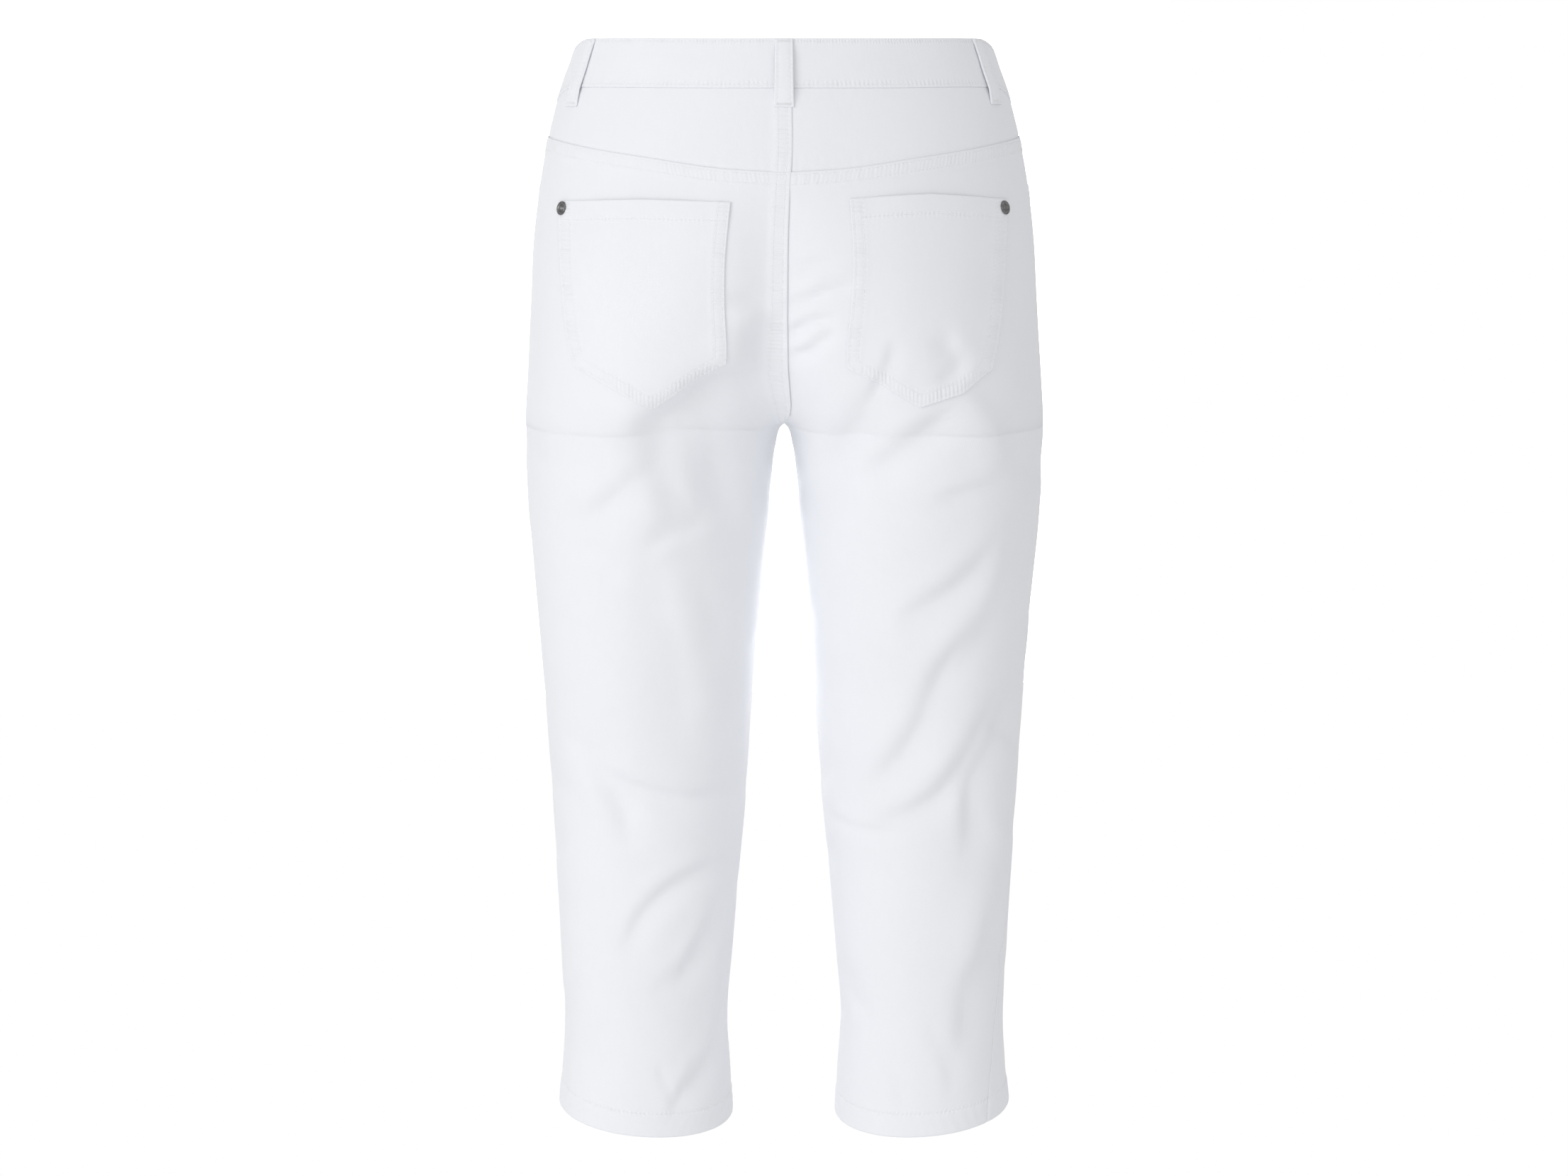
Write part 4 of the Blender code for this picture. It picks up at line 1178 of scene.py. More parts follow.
def yoke(name, side, material):
    """The shaped piece between the waistband and the seat. It runs on under the seat's edge."""
    columns, share_at = panel_outline(side, BACK)
    starts = len(NEAR_PLAIN)
    rows = starts + YOKE_ROWS

    def shape(column_number, row_number, inner):
        share = share_at(column_number, np.full(len(row_number), -50.0))
        for _ in range(3):
            place = np.clip(share, 0.0, 1.0)
            top = band_bottom(place) - BUTT_GAP
            near = top - np.array(NEAR_PLAIN)[np.minimum(row_number, starts - 1)]
            step = np.clip((row_number - starts + 1) / (rows - starts + 1), 0.0, 1.0)
            low = top - NEAR_PLAIN[-1]
            far = low + (yoke_bottom(place) - YOKE_UNDER - low) * step
            z = np.where(row_number < starts, near, far)
            share = share_at(column_number, z)
        length = ring_length(side, BACK, z)
        from_seam = share * length
        from_edge = from_seam + lap_of(side, BACK, z)
        points, normals = skin(side, share, z)
        lift = yoke_lift(side, BACK, share, z, length)
        thick = CLOTH - thinned(from_seam)
        offset = face_offset(inner, lift, thick, edge_round(from_edge, FOLD_ROUND))
        sewn = nearest_sewing((z, from_edge if side == LEFT else from_seam + FAR, BACK_SEAM_ROWS))
        return on_cloth(points, normals, offset), paired(from_seam * side, z), sewn

    return wall(
        name, columns, rows, shape, material, (name,)
    )


# ---------------------------------------------------------------------------- pocket facings


FACING_SHARE = 0.60
FACING_OVAL_SHARE = 0.64
FACING_DROP = 76.0


def pocket_facing(name, side, material):
    """The hip piece that shows in the scoop of the front pocket and runs on behind the front."""
    columns, rows = 54, 46

    def shape(column_number, row_number, inner):
        around = 1 + FACING_SHARE * (column_number / columns) ** 1.15
        top = band_bottom(around) - BUTT_GAP
        bottom = pocket_mouth(around, FACING_OVAL_SHARE, FACING_DROP)
        z = top + (bottom - top) * row_number / rows
        length = ring_length(side, FRONT, z)
        from_side = (around - 1) * length
        inside = distance_to(mouth_line(), paired(from_side, z))
        inside = np.where(z < pocket_mouth(around), inside, 0.0)
        lift = -0.25 - 1.5 * smooth_step(2.0, 20.0, inside)
        lift = lift + seam_dip(from_side, 0.5, SIDE_SEAM_REACH)
        lift = lift + puckers(from_side, z, 8.0, 0.09, 9.0) + seam_dip(top - z, BAND_DIP)
        points, normals = skin(side, around, z)
        points = on_cloth(points, normals, lift - CLOTH * inner)
        sewn = nearest_sewing((z, from_side + FAR, (0.0,)))
        return points, paired(from_side * side, z), sewn

    return wall(
        name, columns, rows, shape, material, (name,),
    )


# --------------------------------------------------------------------------------- waistband


# The rows of points down the band, and the columns near its ends, in millimetres.
BAND_ROWS = (
    0.0, 0.12, 0.4, 0.8, 1.3, 1.8, 2.3, 2.9, 3.7, 5.0, 7.5, 11.0, 15.0, 19.0, 23.0, 26.5, 29.0,
    30.3, 31.1, 31.7, 32.2, 32.7, 33.2, 33.6, 33.88, 34.0,
)
BAND_END_COLUMNS = (0.0, 0.12, 0.4, 0.8, 1.3, 2.0, 2.8)
BAND_SEWN = 2.2
BAND_COLUMNS = 560
FRONT_BAND = float(ring_length(LEFT, FRONT, -10.0))
OVER_END = 2 + BAND_OVER / FRONT_BAND
UNDER_END = 2 + BAND_UNDER / FRONT_BAND
BAND_STEP = (BAND_CLOTH + 0.3) / 2
BAND_STEP_NEAR = 3.0
BAND_STEP_FAR = 20.0
BAND_CROWN = 0.35
BAND_CROWN_SPREAD = 9.0
BAND_ROUND = 1.0
BAND_LOWER_ROUND = 0.7
# The gathers at the top are closer together, and those at the bottom reach further up.
BAND_TOP_PITCH = 1.37
BAND_LOWER_GATHER = 1.2


def band_face(place, from_top):
    """The outer face of the band. place runs from the right end through 0 at the centre back."""
    around = np.abs(place)
    z = edge(WAIST_EDGE, np.minimum(around, 4 - around)) - from_top
    from_front = (2 - around) * FRONT_BAND
    over, under = (
        BAND_STEP * smooth_step(end + BAND_STEP_FAR, end + BAND_STEP_NEAR, from_front)
        for end in (BAND_UNDER, BAND_OVER)
    )
    lift = BAND_PROUD + np.where(place > 0, over, -under)
    run = place * FRONT_BAND
    for sewn in (from_top, BAND_HEIGHT - from_top):
        lift = lift + stitched(sewn, (BAND_SEWN,), 0.2, 0.8) + puckers(sewn, run, 8.0, 0.10, 6.1)
    middle = np.exp(-(((from_top - BAND_HEIGHT / 2) / BAND_CROWN_SPREAD) ** 2))
    lift = lift + BAND_CROWN * middle + 0.12 * np.sin(run / 19.0 + from_top / 5.0) * middle
    left_points, left_normals = skin(LEFT, around, z)
    right_points, right_normals = skin(RIGHT, around, z)
    on_left = (place > 0)[:, None]
    points = np.where(on_left, left_points, right_points)
    normals = np.where(on_left, left_normals, right_normals)
    return on_cloth(points, normals, lift), normals


def waistband(material):
    """One band all the way round, whose left end laps over its right end at the centre front."""
    ends = len(BAND_END_COLUMNS)
    columns = BAND_COLUMNS + 2 * ends - 1
    near = np.array(BAND_END_COLUMNS) / FRONT_BAND
    places = np.concatenate(
        [
            -UNDER_END + near,
            np.linspace(-UNDER_END + near[-1], OVER_END - near[-1], BAND_COLUMNS + 2)[1:-1],
            (OVER_END - near)[::-1],
        ]
    )

    def shape(column_number, row_number, inner):
        place = places[column_number]
        from_top = np.array(BAND_ROWS)[row_number]
        points, normals = band_face(place, from_top)
        from_end = np.minimum(place + UNDER_END, OVER_END - place) * FRONT_BAND
        fold = edge_round(BAND_HEIGHT - from_top, BAND_LOWER_ROUND)
        for from_edge in (from_top, from_end):
            fold = np.maximum(fold, edge_round(from_edge, BAND_ROUND))
        points = points - normals * np.where(inner, BAND_CLOTH - fold, fold)[:, None]
        run = place * FRONT_BAND
        sewn = nearest_sewing(
            (run * BAND_TOP_PITCH, from_top, (BAND_SEWN,)),
            (run, BAND_HEIGHT - from_top, (BAND_SEWN, BAND_SEWN + BAND_LOWER_GATHER)),
        )
        return points, paired(run, -from_top), sewn

    return wall(
        "waistband", columns, len(BAND_ROWS) - 1, shape, material, ("waistband",),
    )


# ------------------------------------------------------------------------------ back pockets


# Offsets of a pocket's columns and rows from its sides and bottom, and from its top.
POCKET_EDGE = (0.0, 0.25, 0.7, 1.3, 2.0, 2.7, 3.6, 5.0, 6.4, 7.3, 8.0, 8.7, 9.6, 11.0)
POCKET_TOP = (0.0, 0.3, 0.8, 1.6, 3.0, 5.0, 7.5, 10.0, 11.6, 12.5, 13.2, 14.0, 15.0, 17.0)
POCKET_MIDDLE_COLUMNS = 44
POCKET_MIDDLE_ROWS = 56
POCKET_ROWS = (2.0, 8.0)
POCKET_HEM = 13.2
POCKET_WIDTH = 113.0
POCKET_CLOTH = 1.1
POCKET_STAND = 1.2
POCKET_LEAST_STAND = 0.06
POCKET_SIDE_ROUND = 0.5
POCKET_TOP_ROUND = 0.7
POCKET_GROOVE = (0.26, 0.85)
POCKET_HEM_GROOVE = (0.22, 0.85)
POCKET_CROWN = 0.7
POCKET_GAPE = 0.45
CALM_CORNER = 14.0


def pocket_line(pocket, which, across):
    """The height of a pocket's top or bottom edge."""
    rows = np.array(pocket["lines"])
    return np.interp(across, rows[:, 0], rows[:, POCKET_LINE_COLUMNS.index(which)])


def pocket_edge(pocket, which, z):
    """Where a pocket's inner or outer side stands."""
    return column(pocket["edges"], POCKET_EDGE_COLUMNS, which, z, "z")


def pocket_place(pocket, across, z):
    """The x of a place on a pocket, by its share of the way across."""
    inner_x, outer_x = (pocket_edge(pocket, which, z) for which in ("inner_x", "outer_x"))
    return inner_x + (outer_x - inner_x) * across


def pocket_outline(pocket):
    """The sides and the bottom of a pocket, from its inner top corner round to its outer one."""
    corners = ((0.0, "top", "bottom"), (1.0, "bottom", "top"))
    inner_z, outer_z = (
        np.linspace(pocket_line(pocket, start, side), pocket_line(pocket, end, side), 60)
        for side, start, end in corners
    )
    across = np.linspace(0.0, 1.0, 81)[1:-1]
    low = pocket_line(pocket, "bottom", across)
    return np.concatenate(
        [
            paired(pocket_edge(pocket, "inner_x", inner_z), inner_z),
            paired(pocket_place(pocket, across, low), low),
            paired(pocket_edge(pocket, "outer_x", outer_z), outer_z),
        ]
    )


def pocket_run(pocket, x, z, across):
    """How far along the nearest edge a place is, and a share that falls to 0 at the corners."""
    width = pocket_edge(pocket, "outer_x", z) - pocket_edge(pocket, "inner_x", z)
    from_side = width * np.minimum(across, 1 - across)
    from_bottom = 0.88 * (z - pocket_line(pocket, "bottom", across))
    run = np.where(from_side < from_bottom, z, 1.15 * x)
    return run, smooth_step(0.0, 6.0, np.abs(from_side - from_bottom))


def pocket_relief(pocket, x, z):
    """How far a pocket's outer face stands out of the skin, and how far its edges are."""
    inner_x = pocket_edge(pocket, "inner_x", z)
    outer_x = pocket_edge(pocket, "outer_x", z)
    across = np.clip((x - inner_x) / (outer_x - inner_x), 0.0, 1.0)
    from_edge = distance_to(pocket_outline(pocket), paired(x, z))
    below_top = pocket_line(pocket, "top", across) - z
    run, calm = pocket_run(pocket, x, z, across)
    lift = POCKET_STAND + 0.3 * smooth_step(11.5, 9.0, from_edge)
    lift = lift + stitched(from_edge, POCKET_ROWS, *POCKET_GROOVE)
    lift = lift + puckers(from_edge, run, 11.0, 0.2 * calm, 6.3)
    lift = lift + 0.4 * smooth_step(14.6, 12.6, below_top)
    lift = lift + stitched(below_top, (POCKET_HEM,), *POCKET_HEM_GROOVE)
    lift = lift + POCKET_CROWN * smooth_step(9.0, 38.0, from_edge)
    gape = np.exp(-((below_top / 9.0) ** 2)) * smooth_step(14.0, 38.0, from_edge)
    return lift + POCKET_GAPE * gape, from_edge, below_top


def pocket_face(pocket):
    """The outer face of a pocket, for sewing: points and normals by x and z."""

    def face(x, z):
        points, normals = seat_skin(pocket["side"], x, z)
        return on_cloth(points, normals, pocket_relief(pocket, x, z)[0]), normals

    return face


def back_pocket(name, pocket, material):
    """A patch on the seat with a pointed bottom, its edges folded under and its top hemmed."""
    edge_count, top_count = len(POCKET_EDGE), len(POCKET_TOP)
    columns = 2 * edge_count + POCKET_MIDDLE_COLUMNS - 1
    rows = top_count + POCKET_MIDDLE_ROWS + edge_count - 1
    near = np.array(POCKET_EDGE) / POCKET_WIDTH
    middle = np.linspace(near[-1], 1 - near[-1], POCKET_MIDDLE_COLUMNS + 2)[1:-1]
    shares = np.concatenate([near, middle, (1 - near)[::-1]])

    def shape(column_number, row_number, inner):
        across = shares[column_number]
        top = pocket_line(pocket, "top", across)
        bottom = pocket_line(pocket, "bottom", across)
        high = top - np.array(POCKET_TOP)[np.minimum(row_number, top_count - 1)]
        step = (row_number - top_count + 1) / (POCKET_MIDDLE_ROWS + 1)
        start, end = top - POCKET_TOP[-1], bottom + POCKET_EDGE[-1]
        z = np.where(row_number < top_count, high, start + (end - start) * step)
        last = np.array(POCKET_EDGE)[np.clip(rows - row_number, 0, edge_count - 1)]
        z = np.where(rows - row_number < edge_count, bottom + last, z)
        x = pocket_place(pocket, across, z)
        points, normals = seat_skin(pocket["side"], x, z)
        lift, from_edge, below_top = pocket_relief(pocket, x, z)
        fold = edge_round(from_edge, POCKET_SIDE_ROUND)
        fold = np.maximum(fold, edge_round(below_top, POCKET_TOP_ROUND))
        offset = face_offset(inner, lift, POCKET_CLOTH, fold, POCKET_LEAST_STAND)
        run, calm = pocket_run(pocket, x, z, across)
        from_corner = from_edge + CALM_CORNER * (1 - calm)
        sewn = nearest_sewing((run, from_corner, POCKET_ROWS), (x, below_top, (POCKET_HEM,)))
        return on_cloth(points, normals, offset), paired(x * pocket["side"], z), sewn

    return wall(
        name, columns, rows, shape, material, (name,)
    )


# -------------------------------------------------------------------------------- belt loops


# Each loop: its side, its share of the way round, its length and how far it stands off.
LOOPS = {
    "centre_back": (LEFT, 0.0, 46.5, 1.9), "back_left": (LEFT, 0.775, 47.0, 0.6),
    "back_right": (RIGHT, 0.775, 45.5, 0.7), "front_left": (LEFT, 1.60, 46.0, 1.5),
    "front_right": (RIGHT, 1.60, 46.0, 1.5),
}
LOOP_CLOTH = 1.6
LOOP_TOP_DROP = 0.8
LOOP_EDGE = (0.0, 0.12, 0.4, 0.8, 1.3, 1.8, 2.2, 2.6, 3.2, 4.4)
LOOP_SEWN = 2.2
LOOP_ROWS = 64
LOOP_CROWN = 0.25
LOOP_GROOVE = (0.25, 0.7)
LOOP_SIDE_ROUND = 0.65
LOOP_END_ROUND = 0.6
LOOP_TACKS = (0.04, 0.955)
LOOP_HALF_TACK = 4.9
TACK_DEPTH = 0.35
TACK_SPREAD = 1.6


def loop_face(side, around, length, stand_off):
    """The outer face of a belt loop by millimetres across from its middle and share down it."""
    half = float(ring_length(side, BACK if around <= 1 else FRONT, -15.0))

    def face(across, along):
        flare = 1 + 0.05 * smooth_step(0.8, 1.0, along)
        place = around + across * flare / half
        top = edge(WAIST_EDGE, np.abs(place))
        z = top - LOOP_TOP_DROP - length * along
        seat = 0.3 + BAND_PROUD * smooth_step(top - BAND_HEIGHT - 6, top - BAND_HEIGHT - 1.5, z)
        stand = stand_off * smooth_step(0.0, 0.3, along) * smooth_step(1.0, 0.75, along)
        crown = LOOP_CROWN * (1 - (across / (LOOP_WIDTH / 2)) ** 2)
        lift = seat + stand + LOOP_CLOTH + crown
        lift = lift + stitched(LOOP_WIDTH / 2 - np.abs(across), (LOOP_SEWN,), *LOOP_GROOVE)
        for tack in LOOP_TACKS:
            lift = lift - TACK_DEPTH * np.exp(-(((along - tack) * length / TACK_SPREAD) ** 2))
        points, normals = skin(side, place, z)
        return on_cloth(points, normals, lift), normals

    return face


def belt_loop(name, material):
    """A strip down the band, sewn at both ends and standing off between them."""
    side, around, length, stand_off = LOOPS[name]
    face = loop_face(side, around, length, stand_off)
    near = np.array(LOOP_EDGE)
    half = LOOP_WIDTH / 2
    places = np.concatenate([near - half, [-0.7, 0.7], (half - near)[::-1]])

    def shape(column_number, row_number, inner):
        across = places[column_number]
        along = row_number / LOOP_ROWS
        points, normals = face(across, along)
        from_edge = half - np.abs(across)
        from_end = np.minimum(along, 1 - along) * length
        fold = edge_round(from_edge, LOOP_SIDE_ROUND)
        fold = np.maximum(fold, edge_round(from_end, LOOP_END_ROUND))
        points = points - normals * np.where(inner, LOOP_CLOTH - fold, fold)[:, None]
        sewn = nearest_sewing((along * length, from_edge, (LOOP_SEWN,)))
        return points, paired(across, -along * length), sewn

    node, flat = "belt_loop_" + name, (LOOP_WIDTH * MM, length * MM)
    columns = len(places) - 1
    return wall(node, columns, LOOP_ROWS, shape, material, (node,))


# ----------------------------------------------------------------------------------- sewing


STITCH_PITCH = 3.0
STITCH_LENGTH = 2.5
STITCH_WIDTH = 0.62
STITCH_HEIGHT = 0.5
STITCH_STAND = 0.06
TACK_STAND = 0.1
# How much the stitches vary in place, in millimetres, and in length, as a share.
STRAY = 0.06
UNEVENNESS = 0.04
CHANCE = np.random.default_rng(11)
# The ends of the buttonhole from the centre front, how far apart its long rows and how long its
# end bar is, the rows beside the fly and where the fly ends.
BUTTONHOLE = (4.0, 22.0)
BUTTONHOLE_HALF_GAP = 1.1
BUTTONHOLE_HALF_BAR = 1.9
BUTTONHOLE_PITCH = 0.55
FLY_ROWS = (32.0, 38.0)
FLY_END = -181.0
# How far rows stop short of a seam.
SEAM_CLEAR = 0.6


def sew(stitches, face, path):
    """Lays stitches along a path on a face."""
    path = np.asarray(path, float)
    points, _ = face(path[:, 0], path[:, 1])
    run = np.concatenate([[0.0], np.cumsum(np.linalg.norm(np.diff(points, axis=0), axis=1))])
    count = max(int(run[-1] // STITCH_PITCH), 1)
    centres = (np.arange(count) + 0.5) * run[-1] / count + CHANCE.normal(0.0, STRAY, count)
    halves = STITCH_LENGTH / 2 * CHANCE.normal(1.0, UNEVENNESS, count)

    def at(distance):
        return face(*(np.interp(distance, run, path[:, axis]) for axis in (0, 1)))

    middles, normals = at(centres)
    starts, _ = at(centres - halves)
    ends, _ = at(centres + halves)
    stitches.extend(zip(middles, ends - starts, normals))


def bar_tack(stitches, face, start, end, long=1.7, pitch=0.62):
    """A short bar of stitches side by side, each across the bar."""
    start, end = np.array(start, float), np.array(end, float)
    points, _ = face(*paired(start, end))
    bar = points[1] - points[0]
    count = int(np.linalg.norm(bar) // pitch)
    share = ((np.arange(count) + 0.5) / count)[:, None]
    places = start + (end - start) * share
    middles, normals = face(places[:, 0], places[:, 1])
    across = np.cross(normals, bar / np.linalg.norm(bar)) * long
    stitches.extend(zip(middles + normals * TACK_STAND, across, normals))


def one_stitch():
    """The mesh of a single stitch, 2 long and round, along Z."""
    builder = bmesh.new()
    bmesh.ops.create_uvsphere(builder, u_segments=6, v_segments=4, radius=1.0)
    mesh = bpy.data.meshes.new("one_stitch")
    builder.to_mesh(mesh)
    builder.free()
    return mesh


def thread_piece(name, stitches, material):
    """All the stitches of a row or more as one piece."""
    pattern = one_stitch()
    builder = bmesh.new()
    for _ in stitches:
        builder.from_mesh(pattern)
    mesh = bpy.data.meshes.new(name)
    builder.to_mesh(mesh)
    builder.free()
    round_points = np.array([vert.co for vert in pattern.vertices])
    bpy.data.meshes.remove(pattern)
    middles, runs, normals = (np.array(column) for column in zip(*stitches))
    halves = runs / 2
    along = halves / np.linalg.norm(halves, axis=1)[:, None]
    across = np.cross(normals, along)
    across /= np.linalg.norm(across, axis=1)[:, None]
    up = np.cross(along, across)
    axes = paired(across * STITCH_WIDTH / 2, up * STITCH_HEIGHT / 2, halves)
    points = round_points @ axes + (middles + up * STITCH_STAND)[:, None, :]
    mesh.vertices.foreach_set("co", (points * MM).astype(np.float32).ravel())
    mesh.update()
    return show(name, mesh, material)


def seam_path(side, view, from_edge, start_z, end_z):
    """A row beside the centre seam, at a distance from the lapped edge."""
    z = np.arange(start_z, end_z, -1.0)
    length = ring_length(side, view, z)
    return paired((from_edge - lap_of(side, view, z)) / length, z)


def fly_path(across):
    """The fly's sewing: down beside the opening and round in a J to the centre front."""
    start = float(band_bottom(np.array(2.0))) - 1.0
    bend = FLY_END + across
    straight = np.linspace(start, bend, 60)
    angle = np.linspace(0.0, math.pi / 2, 40)[1:]
    x = np.concatenate([np.full(60, across), across * np.cos(angle)])
    z = np.concatenate([straight, bend - across * np.sin(angle)])
    keep = x > 3.5
    x, z = x[keep], z[keep]
    return paired(x / ring_length(LEFT, FRONT, z), z)


def sew_band(stitches):
    start, end = -2 + (BAND_OVER + 1.5) / FRONT_BAND, OVER_END - BAND_SEWN / FRONT_BAND
    places = np.linspace(start, end, 900)
    for from_top in (BAND_SEWN, BAND_HEIGHT - BAND_SEWN):
        sew(stitches, band_face, paired(places, np.full(900, from_top)))
    inner, outer = (2 - across / FRONT_BAND for across in BUTTONHOLE)
    middle = BAND_HEIGHT / 2
    for way in (-1, 1):
        from_top = middle + way * BUTTONHOLE_HALF_GAP
        ends = (inner, from_top), (outer, from_top)
        bar_tack(stitches, band_face, *ends, 1.7, BUTTONHOLE_PITCH)
    ends = ((outer, middle + way * BUTTONHOLE_HALF_BAR) for way in (-1, 1))
    bar_tack(stitches, band_face, *ends, 1.5, BUTTONHOLE_PITCH)
    down = np.linspace(BAND_SEWN, BAND_HEIGHT - BAND_SEWN, 40)
    sew(stitches, band_face, paired(np.full(40, end), down))


def sew_seat_and_hems(seat, hems):
    back = sewn_face(LEFT, BACK, panel_lift)
    for from_edge in BACK_SEAM_ROWS:
        top = float(band_bottom(np.array(0.0))) - 0.8
        split = float(yoke_bottom(np.array(0.0)))
        path = seam_path(LEFT, BACK, from_edge, top, split)
        sew(seat, sewn_face(LEFT, BACK, yoke_lift), path)
        sew(seat, back, seam_path(LEFT, BACK, from_edge, split - 1.0, CROTCH_Z + 1.5))
    for side in SIDES.values():
        share = np.linspace(0.0 if side == RIGHT else -0.02, 0.996, 240)
        seam = yoke_bottom(np.clip(share, 0, 1))
        for below in YOKE_SEAM_ROWS:
            sew(seat, sewn_face(side, BACK, panel_lift), paired(share, seam - below))
        share = np.linspace(0.004, 0.997, 240)
        for view in (BACK, FRONT):
            z = hem_edge(side, share if view == BACK else 2 - share) + HEM_TURN_UP
            sew(hems, sewn_face(side, view, panel_lift), paired(share, z))


def beside(line, distance):
    """A line moved to its left, as far as given."""
    run = np.gradient(line, axis=0)
    run /= np.linalg.norm(run, axis=1)[:, None]
    return line + paired(-run[:, 1], run[:, 0]) * distance


def sew_back_pockets(stitches):
    for pocket in POCKETS.values():
        face = pocket_face(pocket)
        outline = pocket_outline(pocket)
        for from_edge in POCKET_ROWS:
            row = beside(outline, from_edge)
            sew(stitches, face, row[distance_to(outline, row) > from_edge - 0.12])
        across = np.linspace(0.02, 0.98, 120)
        z = pocket_line(pocket, "top", across) - POCKET_HEM
        sew(stitches, face, paired(pocket_place(pocket, across, z), z))


def sew_front(stitches):
    line = mouth_line()
    below_band = band_bottom(1 + line[:, 0] / FRONT_BAND)
    for side in SIDES.values():
        for below in MOUTH_ROWS:
            row = beside(line, -below)
            top = np.interp(row[:, 0], line[:, 0], below_band) - SEAM_CLEAR
            row = row[(row[:, 0] > SEAM_CLEAR) & (row[:, 1] < top)]
            share = 1 - row[:, 0] / ring_length(side, FRONT, row[:, 1])
            sew(stitches, sewn_face(side, FRONT, panel_lift), paired(share, row[:, 1]))
    left_front = sewn_face(LEFT, FRONT, panel_lift)
    for across in FLY_ROWS:
        sew(stitches, left_front, fly_path(across))
    for from_edge in FRONT_SEAM_ROWS:
        path = seam_path(LEFT, FRONT, from_edge, FLY_END - 4.0, CROTCH_Z + 1.5)
        sew(stitches, left_front, path)
    bar_tack(stitches, left_front, (0.012, FLY_END + 1.0), (0.05, FLY_END + 5.0))


def sew_loops(stitches):
    for side, around, length, stand_off in LOOPS.values():
        face = loop_face(side, around, length, stand_off)
        along = np.linspace(0.05, 0.95, 50)
        for across in (LOOP_SEWN - LOOP_WIDTH / 2, LOOP_WIDTH / 2 - LOOP_SEWN):
            sew(stitches, face, paired(np.full(50, across), along))
        for share in LOOP_TACKS:
            bar_tack(stitches, face, (-LOOP_HALF_TACK, share), (LOOP_HALF_TACK, share))


def build_sewing(thread):
    names = ("waistband", "seat", "front", "back_pockets", "hems", "belt_loops")
    rows = {name: [] for name in names}
    sew_band(rows["waistband"])
    sew_seat_and_hems(rows["seat"], rows["hems"])
    sew_back_pockets(rows["back_pockets"])
    sew_front(rows["front"])
    sew_loops(rows["belt_loops"])
    for name, stitches in rows.items():
        thread_piece("topstitching_" + name, stitches, thread)


# ------------------------------------------------------------------------------------ metal


# Each rivet: how far it is from the centre plane, and its height.
RIVETS = {"left": (154.0, -108.3), "right": (152.8, -107.8)}
RIVET_STAND = 0.2
BUTTON_FROM_FRONT = 5.0
BUTTON_STAND = 0.3
# The half outlines that are spun, as radius and height.
RIVET_PROFILE = (
    (0.0, -0.4), (4.2, -0.4), (4.9, 0.0), (5.0, 0.35), (4.85, 0.75), (4.45, 1.1), (4.0, 1.25),
    (3.5, 1.2), (3.1, 1.0), (2.75, 0.65), (2.45, 0.5), (2.15, 0.55), (1.9, 0.9), (1.6, 1.35),
    (1.1, 1.6), (0.5, 1.68), (0.0, 1.7),
)
BUTTON_PROFILE = (
    (0.0, -0.3), (3.4, -0.3), (3.6, 0.0), (7.0, 0.05), (8.0, 0.35), (8.45, 0.9), (8.5, 1.4),
    (8.3, 2.0), (7.8, 2.4), (7.1, 2.6), (6.4, 2.6), (5.8, 2.4), (5.3, 2.1), (4.8, 2.0), (3.9, 2.05),
    (3.2, 2.2), (2.3, 2.3), (1.2, 2.36), (0.0, 2.38),
)


def turned(name, profile, point, normal, material):
    """A round metal piece: its profile spun about its axis, which stands on the cloth."""
    lathe = bmesh.new()
    verts = [lathe.verts.new((radius * MM, 0.0, height * MM)) for radius, height in profile]
    edges = [lathe.edges.new(pair) for pair in zip(verts, verts[1:])]
    bmesh.ops.spin(
        lathe, geom=verts + edges, cent=(0, 0, 0), axis=(0, 0, 1), angle=math.tau, steps=56,
        use_merge=True,
    )
    bmesh.ops.remove_doubles(lathe, verts=lathe.verts, dist=0.000002)
    bmesh.ops.recalc_face_normals(lathe, faces=lathe.faces)
    if lathe.calc_volume(signed=True) < 0:
        bmesh.ops.reverse_faces(lathe, faces=lathe.faces)
    matrix = Vector(normal).to_track_quat("Z", "Y").to_matrix().to_4x4()
    matrix.translation = Vector(point) * MM
    bmesh.ops.transform(lathe, matrix=matrix, verts=lathe.verts)
    mesh = bpy.data.meshes.new(name)
    lathe.to_mesh(mesh)
    lathe.free()
    return show(name, mesh, material, (name,))


def build_metal(gunmetal):
    for name, (x, z) in RIVETS.items():
        points, normals = pocket_face(POCKETS[name])(np.array([x]), np.array([z]))
        node = "pocket_rivet_" + name
        turned(node, RIVET_PROFILE, points[0] + normals[0] * RIVET_STAND, normals[0], gunmetal)
    place = np.array([2 - BUTTON_FROM_FRONT / FRONT_BAND])
    points, normals = band_face(place, np.array([BAND_HEIGHT / 2]))
    point = points[0] + normals[0] * BUTTON_STAND
    turned("waist_button", BUTTON_PROFILE, point, normals[0], gunmetal)


# ------------------------------------------------------------------------------ light, camera


def plain_material(name, colour, glow):
    """A matt surface that the camera sees evenly bright."""
    made, tree, shader = new_material(name)
    shader.inputs["Base Color"].default_value = (*colour, 1.0)
    shader.inputs["Roughness"].default_value = 1.0
    shader.inputs["Specular IOR Level"].default_value = 0.0
    shine = tree.nodes.new("ShaderNodeEmission")
    shine.inputs["Strength"].default_value = glow
    path = tree.nodes.new("ShaderNodeLightPath")
    mix = tree.nodes.new("ShaderNodeMixShader")
    tree.links.new(path.outputs["Is Camera Ray"], mix.inputs["Fac"])
    tree.links.new(shader.outputs["BSDF"], mix.inputs[1])
    tree.links.new(shine.outputs["Emission"], mix.inputs[2])
    tree.links.new(mix.outputs["Shader"], tree.nodes["Material Output"].inputs["Surface"])
    return made


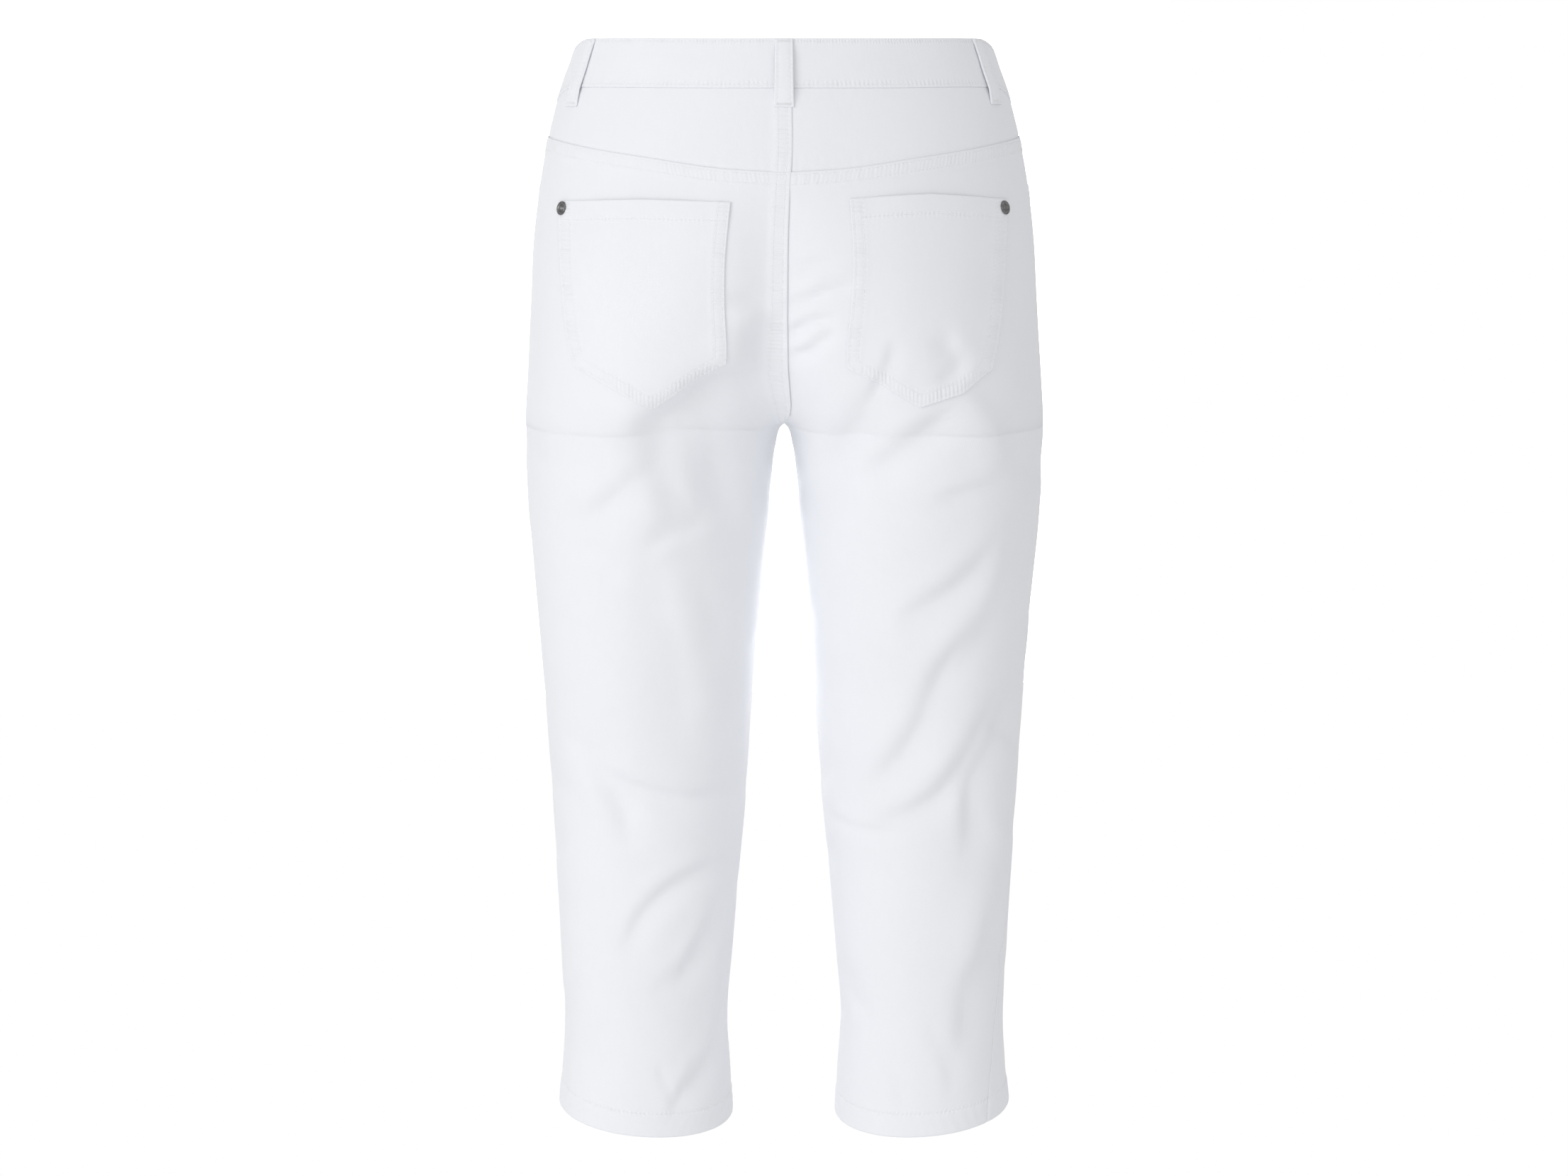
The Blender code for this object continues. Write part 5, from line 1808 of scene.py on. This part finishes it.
FLOOR_Z = -1.12
# Each light: its place, the point it faces, its size and power, and whether the camera sees it.
LIGHTS = (
    ("key_softbox", (2.4, 2.4, 0.4), (0.0, 0.0, -0.35), (2.0, 2.0), 28.0, True),
    ("front_softbox", (0.6, -3.0, 0.2), (0.0, 0.0, -0.35), (2.4, 2.4), 30.0, True),
    ("low_softbox", (0.0, 2.6, -0.8), (0.0, 0.0, -0.35), (1.2, 1.2), 6.5, True),
    ("inseam_card", (0.0, -0.03, -0.385), (0.0, 1.0, -0.385), (0.008, 0.17), 0.032, False),
)
SURROUND = 0.70
CAMERA_PLACE = (0.0, 3.0, 0.010)
CAMERA_DOWN = 7.493
CAMERA_LENS = 96.02
CAMERA_SENSOR = 36.0


def studio():
    """A pale floor, a soft white surround and broad soft lights, the main one from the left."""
    floor_builder = bmesh.new()
    bmesh.ops.create_grid(floor_builder, x_segments=4, y_segments=4, size=40.0)
    bmesh.ops.translate(floor_builder, vec=(0.0, 0.0, FLOOR_Z), verts=floor_builder.verts)
    floor_mesh = bpy.data.meshes.new("studio_floor")
    floor_builder.to_mesh(floor_mesh)
    floor_builder.free()
    floor = bpy.data.objects.new("studio_floor", floor_mesh)
    bpy.context.scene.collection.objects.link(floor)
    floor_mesh.materials.append(plain_material("studio_white", (0.85, 0.85, 0.86), 1.0))

    world = bpy.data.worlds.new("studio_surround")
    bpy.context.scene.world = world
    world.use_nodes = True
    tree = world.node_tree
    background = tree.nodes["Background"]
    background.inputs["Color"].default_value = (1.0, 1.0, 1.0, 1.0)
    path = tree.nodes.new("ShaderNodeLightPath")
    seen = path.outputs["Is Camera Ray"]
    strength = link_math(tree, "MULTIPLY_ADD", seen, 1.0 - SURROUND, SURROUND)
    tree.links.new(strength, background.inputs["Strength"])

    for name, place, toward, size, power, in_view in LIGHTS:
        lamp = bpy.data.lights.new(name, "AREA")
        lamp.shape = "RECTANGLE"
        lamp.size, lamp.size_y = size
        lamp.energy = power
        light = bpy.data.objects.new(name, lamp)
        light.location = place
        light.rotation_mode = "QUATERNION"
        light.rotation_quaternion = (Vector(toward) - Vector(place)).to_track_quat("-Z", "Y")
        light.visible_camera = in_view
        bpy.context.scene.collection.objects.link(light)


def camera():
    """A long lens behind the wearer, at the waist's height and tilted a little down."""
    lens = bpy.data.cameras.new("camera")
    lens.lens = CAMERA_LENS
    lens.sensor_width = CAMERA_SENSOR
    lens.clip_end = 200.0
    eye = bpy.data.objects.new("camera", lens)
    eye.location = CAMERA_PLACE
    eye.rotation_euler = (math.radians(90 - CAMERA_DOWN), 0.0, math.radians(180))
    bpy.context.scene.collection.objects.link(eye)
    bpy.context.scene.camera = eye


def build():
    bpy.context.scene.view_settings.view_transform = "Standard"
    groups = (twill_group(), crumple_group(), pucker_group())
    twill = cloth_material("white_twill_cloth", *TWILL_WHITE, groups)
    facing = cloth_material("white_facing_cloth", *FACING_WHITE, groups)
    thread = thread_material("white_thread", THREAD_WHITE)
    gunmetal = metal_material("gunmetal_plate", *GUNMETAL, 0.2)
    for name, side in SIDES.items():
        panel("back_" + name, side, BACK, twill)
        panel("front_" + name, side, FRONT, twill)
    waistband(twill)
    for name, side in SIDES.items():
        yoke("yoke_" + name, side, twill)
        pocket_facing("pocket_facing_" + name, side, facing)
        back_pocket("back_pocket_" + name, POCKETS[name], twill)
    for name in LOOPS:
        belt_loop(name, twill)
    build_sewing(thread)
    build_metal(gunmetal)
    studio()
    camera()


build()
